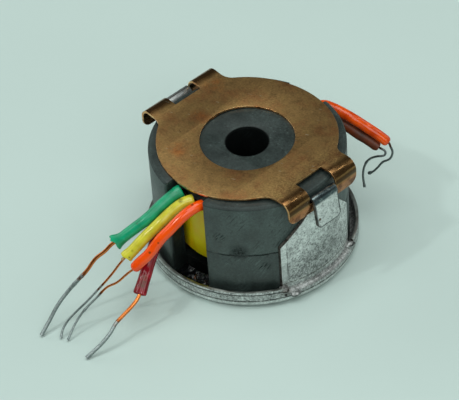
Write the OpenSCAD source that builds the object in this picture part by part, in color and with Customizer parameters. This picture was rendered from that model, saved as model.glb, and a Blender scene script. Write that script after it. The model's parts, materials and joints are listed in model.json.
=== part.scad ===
// High frequency transformer on a ferrite pot core, standing on its tray.
// The two core halves close on the bobbin. The tray's ears rise at +X and -X, and the bowed
// clip on top is latched where the ears' tongues pass its windows and fold down over its lugs.
// Millimetres. The origin is the centre of the tray's underside, and the core's axis is +Z.

/* [Ferrite core] */
// Outside diameter of the core
core_d = 25.5; // [22:0.1:32]
// Height of one core half
half_h = 8.05; // [6.5:0.05:10]
// Diameter of the centre post
post_d = 11.3; // [9:0.1:13]
// Thickness of the round outer wall
wall_t = 2.15; // [1.6:0.05:2.8]
// Diameter of the bore through the centre post
bore_d = 5.6; // [4:0.1:7]
// Thickness of each end plate
plate_t = 2.55; // [2:0.05:3.2]
// Width of the two wire slots
slot_w = 5.8; // [4.4:0.05:7]
// Turn of the slots about the core's axis, in degrees
slot_turn = 6; // [0:1:15]
// How far the slots cut the end plates inside the round wall
slot_inset = 0.3; // [0:0.05:1]
// Rounding of the slots' mouths
slot_round = 0.45; // [0.2:0.05:0.8]
// Chamfer of the core's outer edges
core_chamfer = 0.25; // [0.1:0.05:0.5]

/* [Bobbin and windings] */
// Wall of the bobbin's hub
hub_t = 0.5; // [0.3:0.05:0.8]
// Thickness of the bobbin's flanges
flange_t = 1.2; // [0.4:0.05:1.5]
// Space between the bobbin and the ferrite
bobbin_gap = 0.1; // [0.05:0.05:0.2]
// Depth of the lead notches in the bobbin's flanges
notch_depth = 1.3; // [1:0.1:1.8]
// Share of the winding depth that the inner winding takes
primary_share = 0.5; // [0.3:0.05:0.6]
// Share of the winding depth that the middle winding takes
secondary_share = 0.2; // [0.1:0.05:0.3]
// Thickness of the tape between two windings
inner_tape_t = 0.12; // [0.05:0.01:0.2]
// Thickness of the outer tape
outer_tape_t = 0.3; // [0.1:0.05:0.5]

/* [Tray] */
// Thickness of the tinned sheet
tray_t = 0.4; // [0.3:0.05:0.5]
// Space between the core and the rim
rim_gap = 0.8; // [0.6:0.05:1.2]
// Height of the rim over the tray's underside
rim_h = 2.9; // [2.4:0.1:4]
// Outer bend radius at the foot of the rim
tray_bend = 1.4; // [1:0.1:1.6]
// Radius of the bead at the foot of each ear
bead_r = 0.6; // [0.5:0.05:0.7]
// Space between the core and the ears
ear_gap = 0.05; // [0.05:0.01:0.1]
// Width of each ear
ear_w = 11.8; // [9:0.1:14]
// Slit between an ear and the rim
ear_slit = 0.35; // [0.2:0.05:0.8]
// How far below the core's top the ears start to narrow
shoulder_drop = 7.1; // [6:0.1:8]
// How far below the core's top the ears have narrowed to the tongue
neck_drop = 2.65; // [2.3:0.05:3.2]
// Width of the tongue
tongue_w = 4; // [3.4:0.1:5]
// Shift of the tongues along Y
tongue_y = 0.25; // [-0.3:0.05:0.3]
// Depth of the tongue's fold axis below the core's top
fold_drop = 0.86; // [0.7:0.01:1.2]
// Length of the folded leaf, from the fold axis to its tip
leaf_l = 4.05; // [3.4:0.05:5.4]
// Outward slant of the folded leaf, in degrees
leaf_slant = 8; // [2:1:12]
// Rounding of the leaf's lower corners
leaf_round = 0.7; // [0.3:0.1:1.2]

/* [Clip] */
// Thickness of the spring sheet
clip_t = 0.3; // [0.2:0.05:0.35]
// How far the ring's edge lies inside the core's edge
clip_inset = 1.04; // [0.6:0.02:1.6]
// Diameter of the hole in the ring
clip_hole_d = 12.3; // [9:0.1:15]
// Bend radius of the bowed ring
bow_r = 111; // [90:1:200]
// Width of each lug
lug_w = 11.8; // [9.5:0.1:13.4]
// Fillet where a lug leaves the ring
lug_fillet = 2; // [1:0.1:3]
// Outer bend radius where a lug turns down
lug_bend = 1.35; // [1.2:0.05:1.7]
// Space between an ear and the lug outside it
lug_gap = 0.25; // [0.25:0.05:0.4]
// How far the lugs reach down below the core's top
lug_drop = 2.3; // [1.8:0.1:3]
// Rounding of the lugs' lower corners
lug_round = 1.2; // [0.6:0.1:1.8]
// Space on each side of the tongue in the lug's window
window_gap = 0.25; // [0.15:0.05:0.5]
// How far the window reaches inwards from the ear's inner face
window_reach = 1.7; // [1.2:0.1:2.2]
// Space between the lug and the tongue folded over it
fold_gap = 0.05; // [0.05:0.01:0.2]
// Shift of the clip along X
clip_x = -0.15; // [-0.15:0.05:0.15]
// Shift of the clip along Y
clip_y = 0.2; // [-0.2:0.05:0.2]

/* [Leads] */
// Diameter of the thick sleeves
sleeve_d = 1.5; // [1.3:0.05:1.6]
// Diameter of the thin sleeves
thin_sleeve_d = 1.4; // [1.2:0.05:1.5]
// How much wider the red sleeve is pressed on each side
red_spread = 0.3; // [0:0.05:0.3]
// Bore of every sleeve
sleeve_bore = 0.8; // [0.7:0.05:0.9]
// Diameter of the thick wires
wire_d = 0.5; // [0.3:0.05:0.5]
// Diameter of the fine wires
fine_wire_d = 0.3; // [0.2:0.05:0.4]
// Height of the wax on the tray's floor
wax_h = 1.3; // [0.8:0.1:1.6]
// How far the wax has sunk in the middle
wax_dip = 0.35; // [0:0.05:0.4]

/* [Hidden] */

// Far enough to pass right through whatever is cut
past = 40;
// Space between seated pieces whose faces don't quite touch
seat = 0.02;
// Overlap that joins two stretches of one bent sheet
lap = 0.02;

// Core
core_r = core_d / 2;
core_wall_r = core_r - wall_t;
post_r = post_d / 2;
bore_r = bore_d / 2;
core_base = tray_t;
core_mid = core_base + half_h;
core_top = core_mid + half_h;
slot_end = core_wall_r - slot_inset;

// Bobbin: the windings lie between its hub and its flanges
bobbin_r = core_wall_r - bobbin_gap;
bobbin_z = core_base + plate_t + bobbin_gap / 2;
bobbin_h = 2 * (half_h - plate_t) - bobbin_gap;
hub_in_r = post_r + bobbin_gap;
hub_r = hub_in_r + hub_t;
coil_z = bobbin_z + flange_t + seat;
coil_h = bobbin_h - 2 * flange_t - 2 * seat;

// Winding depth from the hub out to the outer tape, shared by three windings
tape_margin = 0.3;
coil_r = bobbin_r - tape_margin;
copper_depth = coil_r - outer_tape_t - hub_r - 2 * inner_tape_t - 6 * seat;
primary_in = hub_r + seat;
primary_out = primary_in + primary_share * copper_depth;
secondary_in = primary_out + inner_tape_t + 2 * seat;
secondary_out = secondary_in + secondary_share * copper_depth;
auxiliary_in = secondary_out + inner_tape_t + 2 * seat;
auxiliary_out = coil_r - outer_tape_t - seat;

// Tray
tray_r = core_r + rim_gap + tray_t;
ear_in = core_r + ear_gap;
ear_out = ear_in + tray_t;
bead_z = tray_bend + 0.2;
shoulder_z = core_top - shoulder_drop;
neck_z = core_top - neck_drop;
fold_z = core_top - fold_drop;

// Clip: the bow's axis lies above the core, the lugs' bends touch the bowed ring's top
clip_r = core_r - clip_inset;
clip_seat = core_top + seat;
bow_z = clip_seat + bow_r;
lug_in = ear_out + lug_gap;
lug_out = lug_in + clip_t;
bend_x = lug_out - lug_bend;
bend_z = bow_z - sqrt(pow(bow_r - clip_t + lug_bend, 2) - bend_x * bend_x);
bow_angle = asin(bend_x / (bow_r - clip_t + lug_bend));
bow_steps = 10;
bend_steps = 11;
bend_step = (90 + bow_angle) / (bend_steps + 1);
window_w = tongue_w + 2 * window_gap;
lug_foot = core_top - lug_drop;

// Routes of the six leads, from the winding's top outwards: through the bobbin's notch, along the
// sleeve, and bare to the tip
green_root = [[-0.1, -10, 13], [-0.1, -10.6, 13.6], [-0.1, -10.7, 14.6], [-0.2, -10.9, 15.1]];
green_sleeve = [
    [-0.3, -11.2, 15.3], [-0.6, -12.2, 15.1], [-0.9, -13.4, 14.6], [-1.1, -14.5, 14.1],
    [-1.3, -15.6, 13.5], [-1.6, -16.7, 12.9], [-2.1, -17.7, 12.2], [-2.6, -18.7, 11.5],
    [-3.1, -19.6, 10.8], [-3.8, -20.4, 10.1]
];
green_bare = [
    [-4.3, -21.4, 9.1], [-5, -22.4, 8.1], [-5.3, -23.9, 6.7], [-5.6, -24.9, 5.9],
    [-6.1, -26.5, 4.5], [-6.3, -28.3, 3.1], [-6.2, -30, 1.6], [-6, -31.7, 0.3]
];
yellow_root = [[1.5, -9.9, 12.8], [1.6, -10.2, 13.3], [1.65, -10.5, 14.1]];
yellow_sleeve = [
    [1.7, -11, 14.9], [1.2, -12, 14.8], [0.8, -13.1, 14.4], [0.5, -14.3, 13.8],
    [0.3, -15.5, 13.2], [0, -16.5, 12.5], [-0.3, -17.6, 11.8], [-0.6, -18.6, 11],
    [-0.9, -19.6, 10.2], [-1.3, -20.6, 9.4]
];
yellow_bare = [
    [-1.5, -21.1, 8.9], [-2, -22.5, 7.3], [-2.6, -24.2, 5.7], [-3.2, -25.9, 4.2],
    [-3.8, -27.2, 3], [-4.3, -28.8, 1.6], [-4.2, -29.6, 0.9], [-3.8, -30.3, 0.3]
];
orange_root = [[2.9, -9.7, 12.8], [2.9, -10, 13.3], [3.1, -10.4, 14]];
orange_sleeve = [
    [3.3, -10.8, 15], [3, -12.1, 15], [2.7, -13.4, 14.6], [2.4, -14.6, 13.9],
    [2.1, -15.7, 13.1], [1.7, -16.8, 12.2], [1.4, -17.7, 11.2], [1.1, -18.7, 10.2],
    [0.6, -19.6, 9.3], [0.1, -20.6, 8.3]
];
orange_bare = [
    [-0.2, -21.1, 7.9], [-1.1, -22.4, 6.5], [-2.1, -23.4, 5.6], [-2.6, -24.6, 4.5],
    [-3.2, -26.5, 3], [-3.3, -28, 1.8], [-2.9, -29.9, 0.3]
];
red_root = [[0.9, -10, 13], [0.7, -10.6, 13.2], [0.5, -11.1, 13.4]];
red_sleeve = [
    [0.3, -11.7, 13.5], [-0.3, -12.7, 12.9], [-0.5, -13.9, 12.2], [-0.4, -15.1, 11.3],
    [-0.2, -16.1, 10.3], [0.1, -17.1, 9.2], [0.4, -18.1, 8.1], [0.8, -19.1, 7.1],
    [1.3, -20.2, 6.3], [1.8, -21.3, 5.5]
];
red_bare = [
    [1.9, -21.8, 5.1], [1.9, -22.9, 4.5], [1.7, -24.4, 3.7], [1.6, -25.3, 3.2],
    [1.8, -26.8, 2.3], [1.6, -28.4, 1.3], [1.2, -30.3, 0.3]
];
upper_root = [[-0.8, 10, 12.8], [-0.8, 10.3, 13.3], [-0.8, 10.6, 13.8]];
upper_sleeve = [
    [-0.7, 11.1, 14.2], [-0.3, 12.4, 14.2], [0.4, 13.3, 14.4], [1.5, 13.7, 14.4],
    [3.2, 14.1, 14.2], [4.8, 14.6, 13.7], [6.2, 15.3, 12.8], [7.7, 15.9, 12],
    [9.1, 16.5, 11]
];
upper_bare = [
    [9.4, 16.5, 10.5], [9.7, 16.5, 10], [9.8, 16.3, 9.4], [9.6, 16, 8.8],
    [8.9, 15.5, 8.2], [8.4, 14.9, 7.2], [8, 14.5, 6.6], [7.5, 14.2, 6.2]
];
lower_root = [[-1.8, 9.9, 12.9], [-1.7, 10.6, 12.9]];
lower_sleeve = [
    [-1.5, 11.3, 12.4], [-0.6, 12.6, 12.8], [0.9, 13.6, 12.9], [2.4, 13.8, 12.6],
    [3.9, 14.3, 12.1], [5.3, 14.7, 11.5], [6.6, 15.3, 10.8], [7.9, 15.8, 10]
];
lower_bare = [
    [8.4, 15.9, 9.9], [8.9, 16, 9.7], [9, 15.7, 9.3], [8.7, 15.4, 9.2], [8, 15, 8.9],
    [7.4, 14.4, 8.4], [7.2, 13.9, 7.7], [7.3, 13.4, 6.5], [7.9, 13, 4.8]
];
// The routes are those of a core 25.5 across whose top lies at 16.5 and whose winding reaches out
// to 10.2: they keep to its side, its slots and its top, and their tips stay low
route_turn = slot_turn - 6;
function moved(points, out) = [
    for (p = points)
        [p.x, p.y + sign(p.y) * out, p.z + (core_top - 16.5) * min(1, p.z / 10)]
];
function root(points) = moved(points, coil_r - 10.2);
function led(points) = moved(points, core_r - 12.75);

// ---- Swept tubes ----

function unit(v) = v / norm(v);
function heading(route, i) =
    unit(route[min(i + 1, len(route) - 1)] - route[max(i - 1, 0)]);
function across(v, along) = unit(v - (v * along) * along);
// One direction across the route at each point, carried on from point to point without twist
function sides(route) = [
    for (
        i = 0, v = across([1, 0.3, 0.2], heading(route, 0));
        i < len(route);
        i = i + 1, v = across(v, heading(route, min(i, len(route) - 1)))
    ) v
];
// Rings of eight points about the route, pressed wider and a third as much thinner from its
// middle on
TUBE_SIDES = 8;
function rings(route, r, spread) =
    let (side = sides(route), last = len(route) - 1)
    [for (i = [0:last])
        let (
            up = cross(heading(route, i), side[i]),
            pressed = spread * min(1, 2 * i / last)
        )
        for (k = [0:TUBE_SIDES - 1])
            route[i] + (r + pressed) * cos(k * 360 / TUBE_SIDES) * side[i]
                + (r - pressed / 3) * sin(k * 360 / TUBE_SIDES) * up
    ];
// The skin between neighbouring rings, as triangles, of a tube whose points start at first
function skin(count, first) = [
    for (i = [0:count - 2], k = [0:TUBE_SIDES - 1])
        let (
            a = first + i * TUBE_SIDES + k,
            b = first + i * TUBE_SIDES + (k + 1) % TUBE_SIDES
        )
        for (face = [[a, a + TUBE_SIDES, b], [b, a + TUBE_SIDES, b + TUBE_SIDES]]) face
];
function flipped(faces) = [for (f = faces) [f[2], f[1], f[0]]];

// A round solid wire along a lead's three stretches
module wire(start, sleeved, bare, d) {
    route = concat(root(start), led(sleeved), led(bare));
    last = (len(route) - 1) * TUBE_SIDES;
    ends = [
        [for (k = [0:TUBE_SIDES - 1]) k],
        [for (k = [TUBE_SIDES - 1:-1:0]) last + k]
    ];
    rotate(route_turn)
        polyhedron(rings(route, d / 2, 0), concat(skin(len(route), 0), ends));
}

// A hollow sleeve along a lead's sleeved stretch
module sleeve(sleeved, d, spread = 0) {
    route = led(sleeved);
    outside = rings(route, d / 2, spread);
    inside = rings(route, sleeve_bore / 2, spread);
    shift = len(outside);
    last = (len(route) - 1) * TUBE_SIDES;
    lips = [
        for (k = [0:TUBE_SIDES - 1])
            let (n = (k + 1) % TUBE_SIDES)
            for (face = [
                [k, n, shift + k], [n, shift + n, shift + k],
                [last + n, last + k, shift + last + k],
                [shift + last + n, last + n, shift + last + k]
            ]) face
    ];
    rotate(route_turn) polyhedron(
        concat(outside, inside),
        concat(skin(len(route), 0), flipped(skin(len(route), shift)), lips)
    );
}

// ---- Ferrite core ----

// Outline of the wire slot that opens towards -Y, with rounded mouth edges
module slot_outline() {
    translate([-slot_w / 2, -past]) square([slot_w, past - slot_end]);
    round_x = slot_w / 2 + slot_round;
    round_y = sqrt(pow(core_r - slot_round, 2) - round_x * round_x);
    touch_x = round_x * core_r / (core_r - slot_round);
    for (side = [0, 1]) mirror([side, 0]) difference() {
        translate([slot_w / 2, -core_r]) square([touch_x - slot_w / 2, core_r - round_y]);
        translate([round_x, -round_y]) circle(slot_round, $fn = 32);
    }
}

// A core half with its end plate down and its open side up
module core_half() {
    difference() {
        rotate_extrude($fn = 96) polygon([
            [bore_r, 0],
            [core_r - core_chamfer, 0],
            [core_r, core_chamfer],
            [core_r, half_h],
            [core_wall_r, half_h],
            [core_wall_r, plate_t],
            [post_r, plate_t],
            [post_r, half_h],
            [bore_r, half_h]
        ]);
        for (turn = [0, 180])
            rotate(turn) translate([0, 0, -1]) linear_extrude(half_h + 2) slot_outline();
    }
}

module core_lower() {
    color("#3d4948") translate([0, 0, core_base]) rotate(slot_turn) core_half();
}

module core_upper() {
    color("#46524f") translate([0, 0, core_top]) mirror([0, 0, 1]) rotate(slot_turn) core_half();
}

// ---- Bobbin, windings and tapes ----

module bobbin() {
    color("#202020") translate([0, 0, bobbin_z]) difference() {
        rotate_extrude($fn = 96) polygon([
            [hub_in_r, 0],
            [bobbin_r, 0],
            [bobbin_r, flange_t],
            [hub_r, flange_t],
            [hub_r, bobbin_h - flange_t],
            [bobbin_r, bobbin_h - flange_t],
            [bobbin_r, bobbin_h],
            [hub_in_r, bobbin_h]
        ]);
        for (turn = [0, 180]) rotate(slot_turn + turn)
            translate([-slot_w / 2, -past, -1])
                cube([slot_w, past - bobbin_r + notch_depth, bobbin_h + 2]);
    }
}

// A wound layer that fills the bobbin between its flanges
module coil(r_in, r_out) {
    translate([0, 0, coil_z]) rotate_extrude($fn = 96)
        translate([r_in, 0]) square([r_out - r_in, coil_h]);
}

module winding_primary() {
    color("#b4632f") coil(primary_in, primary_out);
}

module tape_primary() {
    color("#e0b43a") coil(primary_out + seat, secondary_in - seat);
}

module winding_secondary() {
    color("#b4632f") coil(secondary_in, secondary_out);
}

module tape_secondary() {
    color("#e0b43a") coil(secondary_out + seat, auxiliary_in - seat);
}

module winding_auxiliary() {
    color("#b4632f") coil(auxiliary_in, auxiliary_out);
}

module tape_outer() {
    color("#e0b43a") coil(auxiliary_out + seat, coil_r);
}

// ---- Tray ----

// Inside or outside of the dish, a round bowl with a bent foot
module bowl(r, floor_z, foot_r) {
    translate([0, 0, floor_z]) rotate_extrude($fn = 96) {
        square([r - foot_r, past]);
        translate([0, foot_r]) square([r, past]);
        translate([r - foot_r, foot_r]) circle(foot_r, $fn = 48);
    }
}

module tray_cavity(gap) {
    bowl(tray_r - tray_t - gap, tray_t + gap, tray_bend - tray_t - gap);
}

// Dish: a flat floor with a hole, a bent foot and a rim that stops short of the ears
module dish() {
    difference() {
        intersection() {
            bowl(tray_r, 0, tray_bend);
            translate([-past, -past, 0]) cube([2 * past, 2 * past, rim_h]);
        }
        tray_cavity(0);
        translate([0, 0, -1]) cylinder(h = tray_t + 2, r = bore_r, $fn = 64);
        translate([-past, -ear_w / 2 - ear_slit, bead_z])
            cube([2 * past, ear_w + 2 * ear_slit, past]);
    }
}

// Section of an ear: the rim's wall, the bead that turns inwards, and the upright sheet
module ear_section() {
    translate([tray_r - tray_t, tray_bend]) square([tray_t, bead_z - tray_bend]);
    intersection() {
        translate([tray_r - bead_r, bead_z]) difference() {
            circle(bead_r, $fn = 48);
            circle(bead_r - tray_t, $fn = 48);
        }
        translate([tray_r - bead_r, bead_z]) square(bead_r);
    }
    ledge_z = bead_z + bead_r - tray_t;
    translate([ear_in, ledge_z]) square([tray_r - bead_r - ear_in, tray_t]);
    translate([ear_in, ledge_z]) square([tray_t, neck_z - ledge_z]);
}

// Front view of an ear: straight sides, then a taper to the tongue
module ear_outline() {
    polygon([
        [-ear_w / 2, 0], [ear_w / 2, 0], [ear_w / 2, shoulder_z],
        [tongue_y + tongue_w / 2, neck_z], [tongue_y - tongue_w / 2, neck_z],
        [-ear_w / 2, shoulder_z]
    ]);
}

// Side view of a tongue: up through the lug's window, over the fold and down outside the lug
module tongue_section(fold_r) {
    root_z = neck_z - tray_t;
    translate([ear_in, root_z]) square([tray_t, fold_z - root_z]);
    translate([ear_out + fold_r, fold_z]) {
        intersection() {
            difference() {
                circle(fold_r + tray_t, $fn = 48);
                circle(fold_r, $fn = 48);
            }
            polygon([
                [0, 0], [past * cos(leaf_slant), past * sin(leaf_slant)], [past, past],
                [-past, past], [-past, 0]
            ]);
        }
        rotate(leaf_slant) translate([fold_r, -leaf_l]) square([tray_t, leaf_l + lap]);
    }
}

// What the rounding takes off the leaf's two lower corners
module leaf_corners() {
    for (side = [0, 1]) mirror([side, 0]) difference() {
        translate([tongue_w / 2 - leaf_round, -leaf_l - 1]) square([leaf_round + 1, leaf_round + 1]);
        translate([tongue_w / 2 - leaf_round, leaf_round - leaf_l]) circle(leaf_round, $fn = 32);
    }
}

// The ear at +X, folded over a lug whose outer face lies at lug_face
module ear(lug_face) {
    fold_r = (lug_face + fold_gap - ear_out) / 2;
    intersection() {
        rotate(-40) rotate_extrude(angle = 80, $fn = 96) ear_section();
        rotate([90, 0, 90]) linear_extrude(past) ear_outline();
    }
    translate([0, tongue_y, 0]) difference() {
        rotate([90, 0, 0]) translate([0, 0, -tongue_w / 2])
            linear_extrude(tongue_w) tongue_section(fold_r);
        translate([ear_out + fold_r, 0, fold_z]) rotate([0, -leaf_slant, 0])
            rotate([90, 0, 90]) linear_extrude(past) leaf_corners();
    }
}

module tray() {
    color("#9c9a94") union() {
        dish();
        ear(lug_out + clip_x);
        mirror([1, 0, 0]) ear(lug_out - clip_x);
    }
}

// ---- Clip ----

// Points of an arc about a centre, from one angle to another
function arc(centre, r, from, to, steps) = [
    for (i = [0:steps])
        let (a = from + (to - from) * i / steps)
        centre + r * [cos(a), sin(a)]
];
function reversed(points) = [for (i = [len(points) - 1:-1:0]) points[i]];
// One face of the strip in side view, from the middle out along the bow, round the lug's bend
// and down its flange
function clip_face(bow, bend, x) = concat(
    arc([0, bow_z], bow, -90, bow_angle - 90, bow_steps),
    arc([bend_x, bend_z], bend, 90 + bow_angle - bend_step, 0, bend_steps),
    [[x, lug_foot]]
);
function flipped_x(points) = [for (p = points) [-p.x, p.y]];
function flipped_y(points) = [for (p = points) [p.x, -p.y]];
// A line of points that starts on the middle plane, and its mirror image before it
function both_sides(points) =
    concat(reversed(flipped_x(points)), [for (i = [1:len(points) - 1]) points[i]]);

// Side view of the strip: top face one way, underside back
module clip_section() {
    top = clip_face(bow_r - clip_t, lug_bend, lug_out);
    underside = clip_face(bow_r, lug_bend - clip_t, lug_in);
    polygon(concat(both_sides(top), reversed(both_sides(underside))));
}

// Plan of the clip between +Y and +X: the ring's edge, the fillet and the edge of the lug
function clip_quarter() =
    let (
        centre_y = lug_w / 2 + lug_fillet,
        centre_x = sqrt(pow(clip_r + lug_fillet, 2) - centre_y * centre_y),
        touch = atan2(centre_y, centre_x)
    )
    concat(
        arc([0, 0], clip_r, 90, touch, 16),
        arc([centre_x, centre_y], lug_fillet, 180 + touch, 270, 8),
        [[past, lug_w / 2]]
    );
// Plan of the clip: ring, lugs and hole
module clip_plan() {
    right = concat(clip_quarter(), reversed(flipped_y(clip_quarter())));
    difference() {
        polygon(concat(right, reversed(flipped_x(right))));
        circle(d = clip_hole_d, $fn = 96);
    }
}

// Front view of the clip: the ring's level, and the lugs' flanges with rounded corners
module clip_front() {
    half = concat(
        [[past, past], [past, core_top - clip_t], [lug_w / 2, core_top - clip_t]],
        arc([lug_w / 2 - lug_round, lug_foot + lug_round], lug_round, 0, -90, 8)
    );
    polygon(concat(half, reversed(flipped_x(half))));
}

module spring_clip() {
    window_in = ear_in - window_reach;
    color("#8a6b3c") translate([clip_x, clip_y, 0]) difference() {
        intersection() {
            rotate([90, 0, 0]) translate([0, 0, -past]) linear_extrude(2 * past) clip_section();
            linear_extrude(past) clip_plan();
            rotate([90, 0, 90]) translate([0, 0, -past]) linear_extrude(2 * past) clip_front();
        }
        for (side = [0, 1]) mirror([side, 0, 0])
            translate([window_in, -window_w / 2, fold_z]) cube([past, window_w, past]);
    }
}

// ---- Wax ----

// A hardened pool in the front slot: it lies on the tray's floor, fills the bend of the rim
// and has dried in the middle
module wax_residue() {
    spread = 2 * asin((slot_w / 2 - seat) / core_r);
    pool_in = slot_end / cos(spread / 2) + seat;
    brim = arc(
        [tray_r - tray_bend, tray_bend], tray_bend - tray_t - seat, -90, -20, 6
    );
    inner_top = [pool_in, tray_t + wax_h];
    outer_top = brim[len(brim) - 1];
    steps = 8;
    surface = [
        for (i = [1:steps])
            let (t = i / steps)
            outer_top + t * (inner_top - outer_top) - [0, wax_dip * sin(180 * t)]
    ];
    color("#151412") rotate(slot_turn - 90 - spread / 2) rotate_extrude(angle = spread, $fn = 96)
        polygon(concat([[pool_in, tray_t + seat]], brim, surface));
}

// ---- Leads ----

module sleeve_green() {
    color("#1f9a4a") sleeve(green_sleeve, sleeve_d);
}

module sleeve_yellow() {
    color("#e8c22c") sleeve(yellow_sleeve, sleeve_d);
}

module sleeve_orange() {
    color("#e06a1c") sleeve(orange_sleeve, thin_sleeve_d);
}

module sleeve_red() {
    color("#c22a1e") sleeve(red_sleeve, thin_sleeve_d, red_spread);
}

module sleeve_rear_upper() {
    color("#d8421c") sleeve(upper_sleeve, thin_sleeve_d);
}

module sleeve_rear_lower() {
    color("#b0381c") sleeve(lower_sleeve, sleeve_d);
}

module lead_green() {
    color("#b0683c") wire(green_root, green_sleeve, green_bare, wire_d);
}

module lead_yellow() {
    color("#b0683c") wire(yellow_root, yellow_sleeve, yellow_bare, fine_wire_d);
}

module lead_orange() {
    color("#b0683c") wire(orange_root, orange_sleeve, orange_bare, fine_wire_d);
}

module lead_red() {
    color("#b0683c") wire(red_root, red_sleeve, red_bare, wire_d);
}

module lead_rear_upper() {
    color("#77726c") wire(upper_root, upper_sleeve, upper_bare, fine_wire_d);
}

module lead_rear_lower() {
    color("#77726c") wire(lower_root, lower_sleeve, lower_bare, fine_wire_d);
}

tray();
spring_clip();
core_upper();
core_lower();
bobbin();
winding_primary();
tape_primary();
winding_secondary();
tape_secondary();
winding_auxiliary();
tape_outer();
wax_residue();
sleeve_green();
sleeve_yellow();
sleeve_orange();
sleeve_red();
sleeve_rear_upper();
sleeve_rear_lower();
lead_green();
lead_yellow();
lead_orange();
lead_red();
lead_rear_upper();
lead_rear_lower();
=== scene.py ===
"""Looks of a high frequency transformer on a ferrite pot core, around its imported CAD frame."""

import json
import math

import bmesh
import bpy
from mathutils import Matrix, Vector

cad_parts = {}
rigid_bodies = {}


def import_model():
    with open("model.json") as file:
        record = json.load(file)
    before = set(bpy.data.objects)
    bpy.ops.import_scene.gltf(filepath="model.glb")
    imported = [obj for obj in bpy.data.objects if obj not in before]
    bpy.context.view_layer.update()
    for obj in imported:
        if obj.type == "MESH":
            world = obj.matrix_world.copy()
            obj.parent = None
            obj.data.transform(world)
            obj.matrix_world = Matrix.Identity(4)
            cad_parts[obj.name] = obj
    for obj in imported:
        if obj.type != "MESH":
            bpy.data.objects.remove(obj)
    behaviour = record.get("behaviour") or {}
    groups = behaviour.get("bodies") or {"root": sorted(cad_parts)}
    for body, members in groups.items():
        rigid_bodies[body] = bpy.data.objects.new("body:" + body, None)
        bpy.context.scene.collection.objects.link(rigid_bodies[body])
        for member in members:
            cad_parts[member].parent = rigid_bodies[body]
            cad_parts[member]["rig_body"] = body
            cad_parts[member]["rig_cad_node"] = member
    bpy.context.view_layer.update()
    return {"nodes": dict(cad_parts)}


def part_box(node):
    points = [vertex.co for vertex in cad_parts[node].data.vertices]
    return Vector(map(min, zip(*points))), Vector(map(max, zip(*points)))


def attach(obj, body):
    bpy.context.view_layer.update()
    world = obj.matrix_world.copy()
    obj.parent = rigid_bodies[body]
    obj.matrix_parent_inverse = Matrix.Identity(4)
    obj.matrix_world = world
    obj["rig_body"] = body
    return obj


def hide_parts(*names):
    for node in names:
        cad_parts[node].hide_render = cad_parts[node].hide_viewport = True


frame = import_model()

bl_info = {
    "name": "Pot core transformer",
    "version": (1, 0, 0),
    "blender": (4, 5, 0),
    "location": "3D View > Sidebar > Transformer",
    "description": "Finishes a pot core transformer: ferrite, clip, tray, tape, sleeves and leads",
    "category": "Add Mesh",
}

MM = 0.001
# Where the core's halves meet, and the core's top and radius, in millimetres
JOINT_Z = round(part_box("core_lower")[1].z / MM, 3)
CORE_TOP = round(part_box("core_upper")[1].z / MM, 3)
CORE_RADIUS = round(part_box("core_upper")[1].x / MM, 3)
# The tray's rim, by its top and its outer radius, in millimetres
RIM_TOP = 2.9
RIM_RADIUS = 13.95


def linear(code):
    """An sRGB hex colour as linear red, green and blue."""
    parts = [int(code[i : i + 2], 16) / 255 for i in (1, 3, 5)]
    return tuple(c / 12.92 if c <= 0.04045 else ((c + 0.055) / 1.055) ** 2.4 for c in parts)


def tint(code):
    """An sRGB hex colour with full opacity, as a colour socket takes it."""
    return (*linear(code), 1.0)


# ---- Sizes and colours that a user would change ----


class TransformerSizes(bpy.types.PropertyGroup):
    """Sizes of the finish, which the CAD frame leaves open."""

    core_edge: bpy.props.FloatProperty(
        name="Core edge", description="Rounding of the ground ferrite's edges",
        default=0.05 * MM, unit="LENGTH",
    )
    sheet_edge: bpy.props.FloatProperty(
        name="Sheet edge", description="Rounding of the stamped sheets' edges",
        default=0.05 * MM, unit="LENGTH",
    )
    clip_edge: bpy.props.FloatProperty(
        name="Clip edge", description="Rounding of the clip's stamped edges",
        default=0.09 * MM, unit="LENGTH",
    )
    sleeve_wall: bpy.props.FloatProperty(
        name="Sleeve wall", description="Wall thickness of the insulating sleeves",
        default=0.3 * MM, unit="LENGTH",
    )
    tin_coat: bpy.props.FloatProperty(
        name="Tin coat", description="How far lumps of solder stand out from a tinned lead",
        default=0.03 * MM, unit="LENGTH",
    )


class TransformerColours(bpy.types.PropertyGroup):
    """Colours of the materials."""

    ferrite: bpy.props.FloatVectorProperty(
        name="Ferrite", description="Ground ferrite", subtype="COLOR", default=linear("#3A4643"),
    )
    bronze: bpy.props.FloatVectorProperty(
        name="Bronze", description="Tarnished spring bronze", subtype="COLOR",
        default=linear("#AA8656"),
    )
    tin: bpy.props.FloatVectorProperty(
        name="Tin", description="Tinned steel sheet", subtype="COLOR", default=linear("#DCDEDC"),
    )
    tape: bpy.props.FloatVectorProperty(
        name="Tape", description="Polyester tape", subtype="COLOR", default=linear("#FFDE00"),
    )
    floor: bpy.props.FloatVectorProperty(
        name="Floor", description="Floor under the part", subtype="COLOR",
        default=linear("#C6D6D1"),
    )


# ---- Small helpers for objects and meshes ----


def only(obj):
    """Make this object the active and the only selected one."""
    for other in bpy.context.view_layer.objects:
        other.select_set(False)
    obj.select_set(True)
    bpy.context.view_layer.objects.active = obj


def modified(obj, kind, **settings):
    """Add a modifier with its settings and apply it."""
    only(obj)
    modifier = obj.modifiers.new(kind.title(), kind)
    for name, value in settings.items():
        setattr(modifier, name, value)
    bpy.ops.object.modifier_apply(modifier=modifier.name)


def settle(obj):
    """Put the object's place, turn and scale into its mesh."""
    only(obj)
    bpy.ops.object.transform_apply(location=True, rotation=True, scale=True)


def finished(obj, name, replaced=(), smooth_deg=35):
    """Name a piece, smooth it, make it ride on the body and hide the CAD parts it replaces."""
    obj.name = obj.data.name = name
    only(obj)
    bpy.ops.object.shade_smooth_by_angle(angle=math.radians(smooth_deg))
    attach(obj, "root")
    if replaced:
        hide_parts(*replaced)
    return obj


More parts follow.
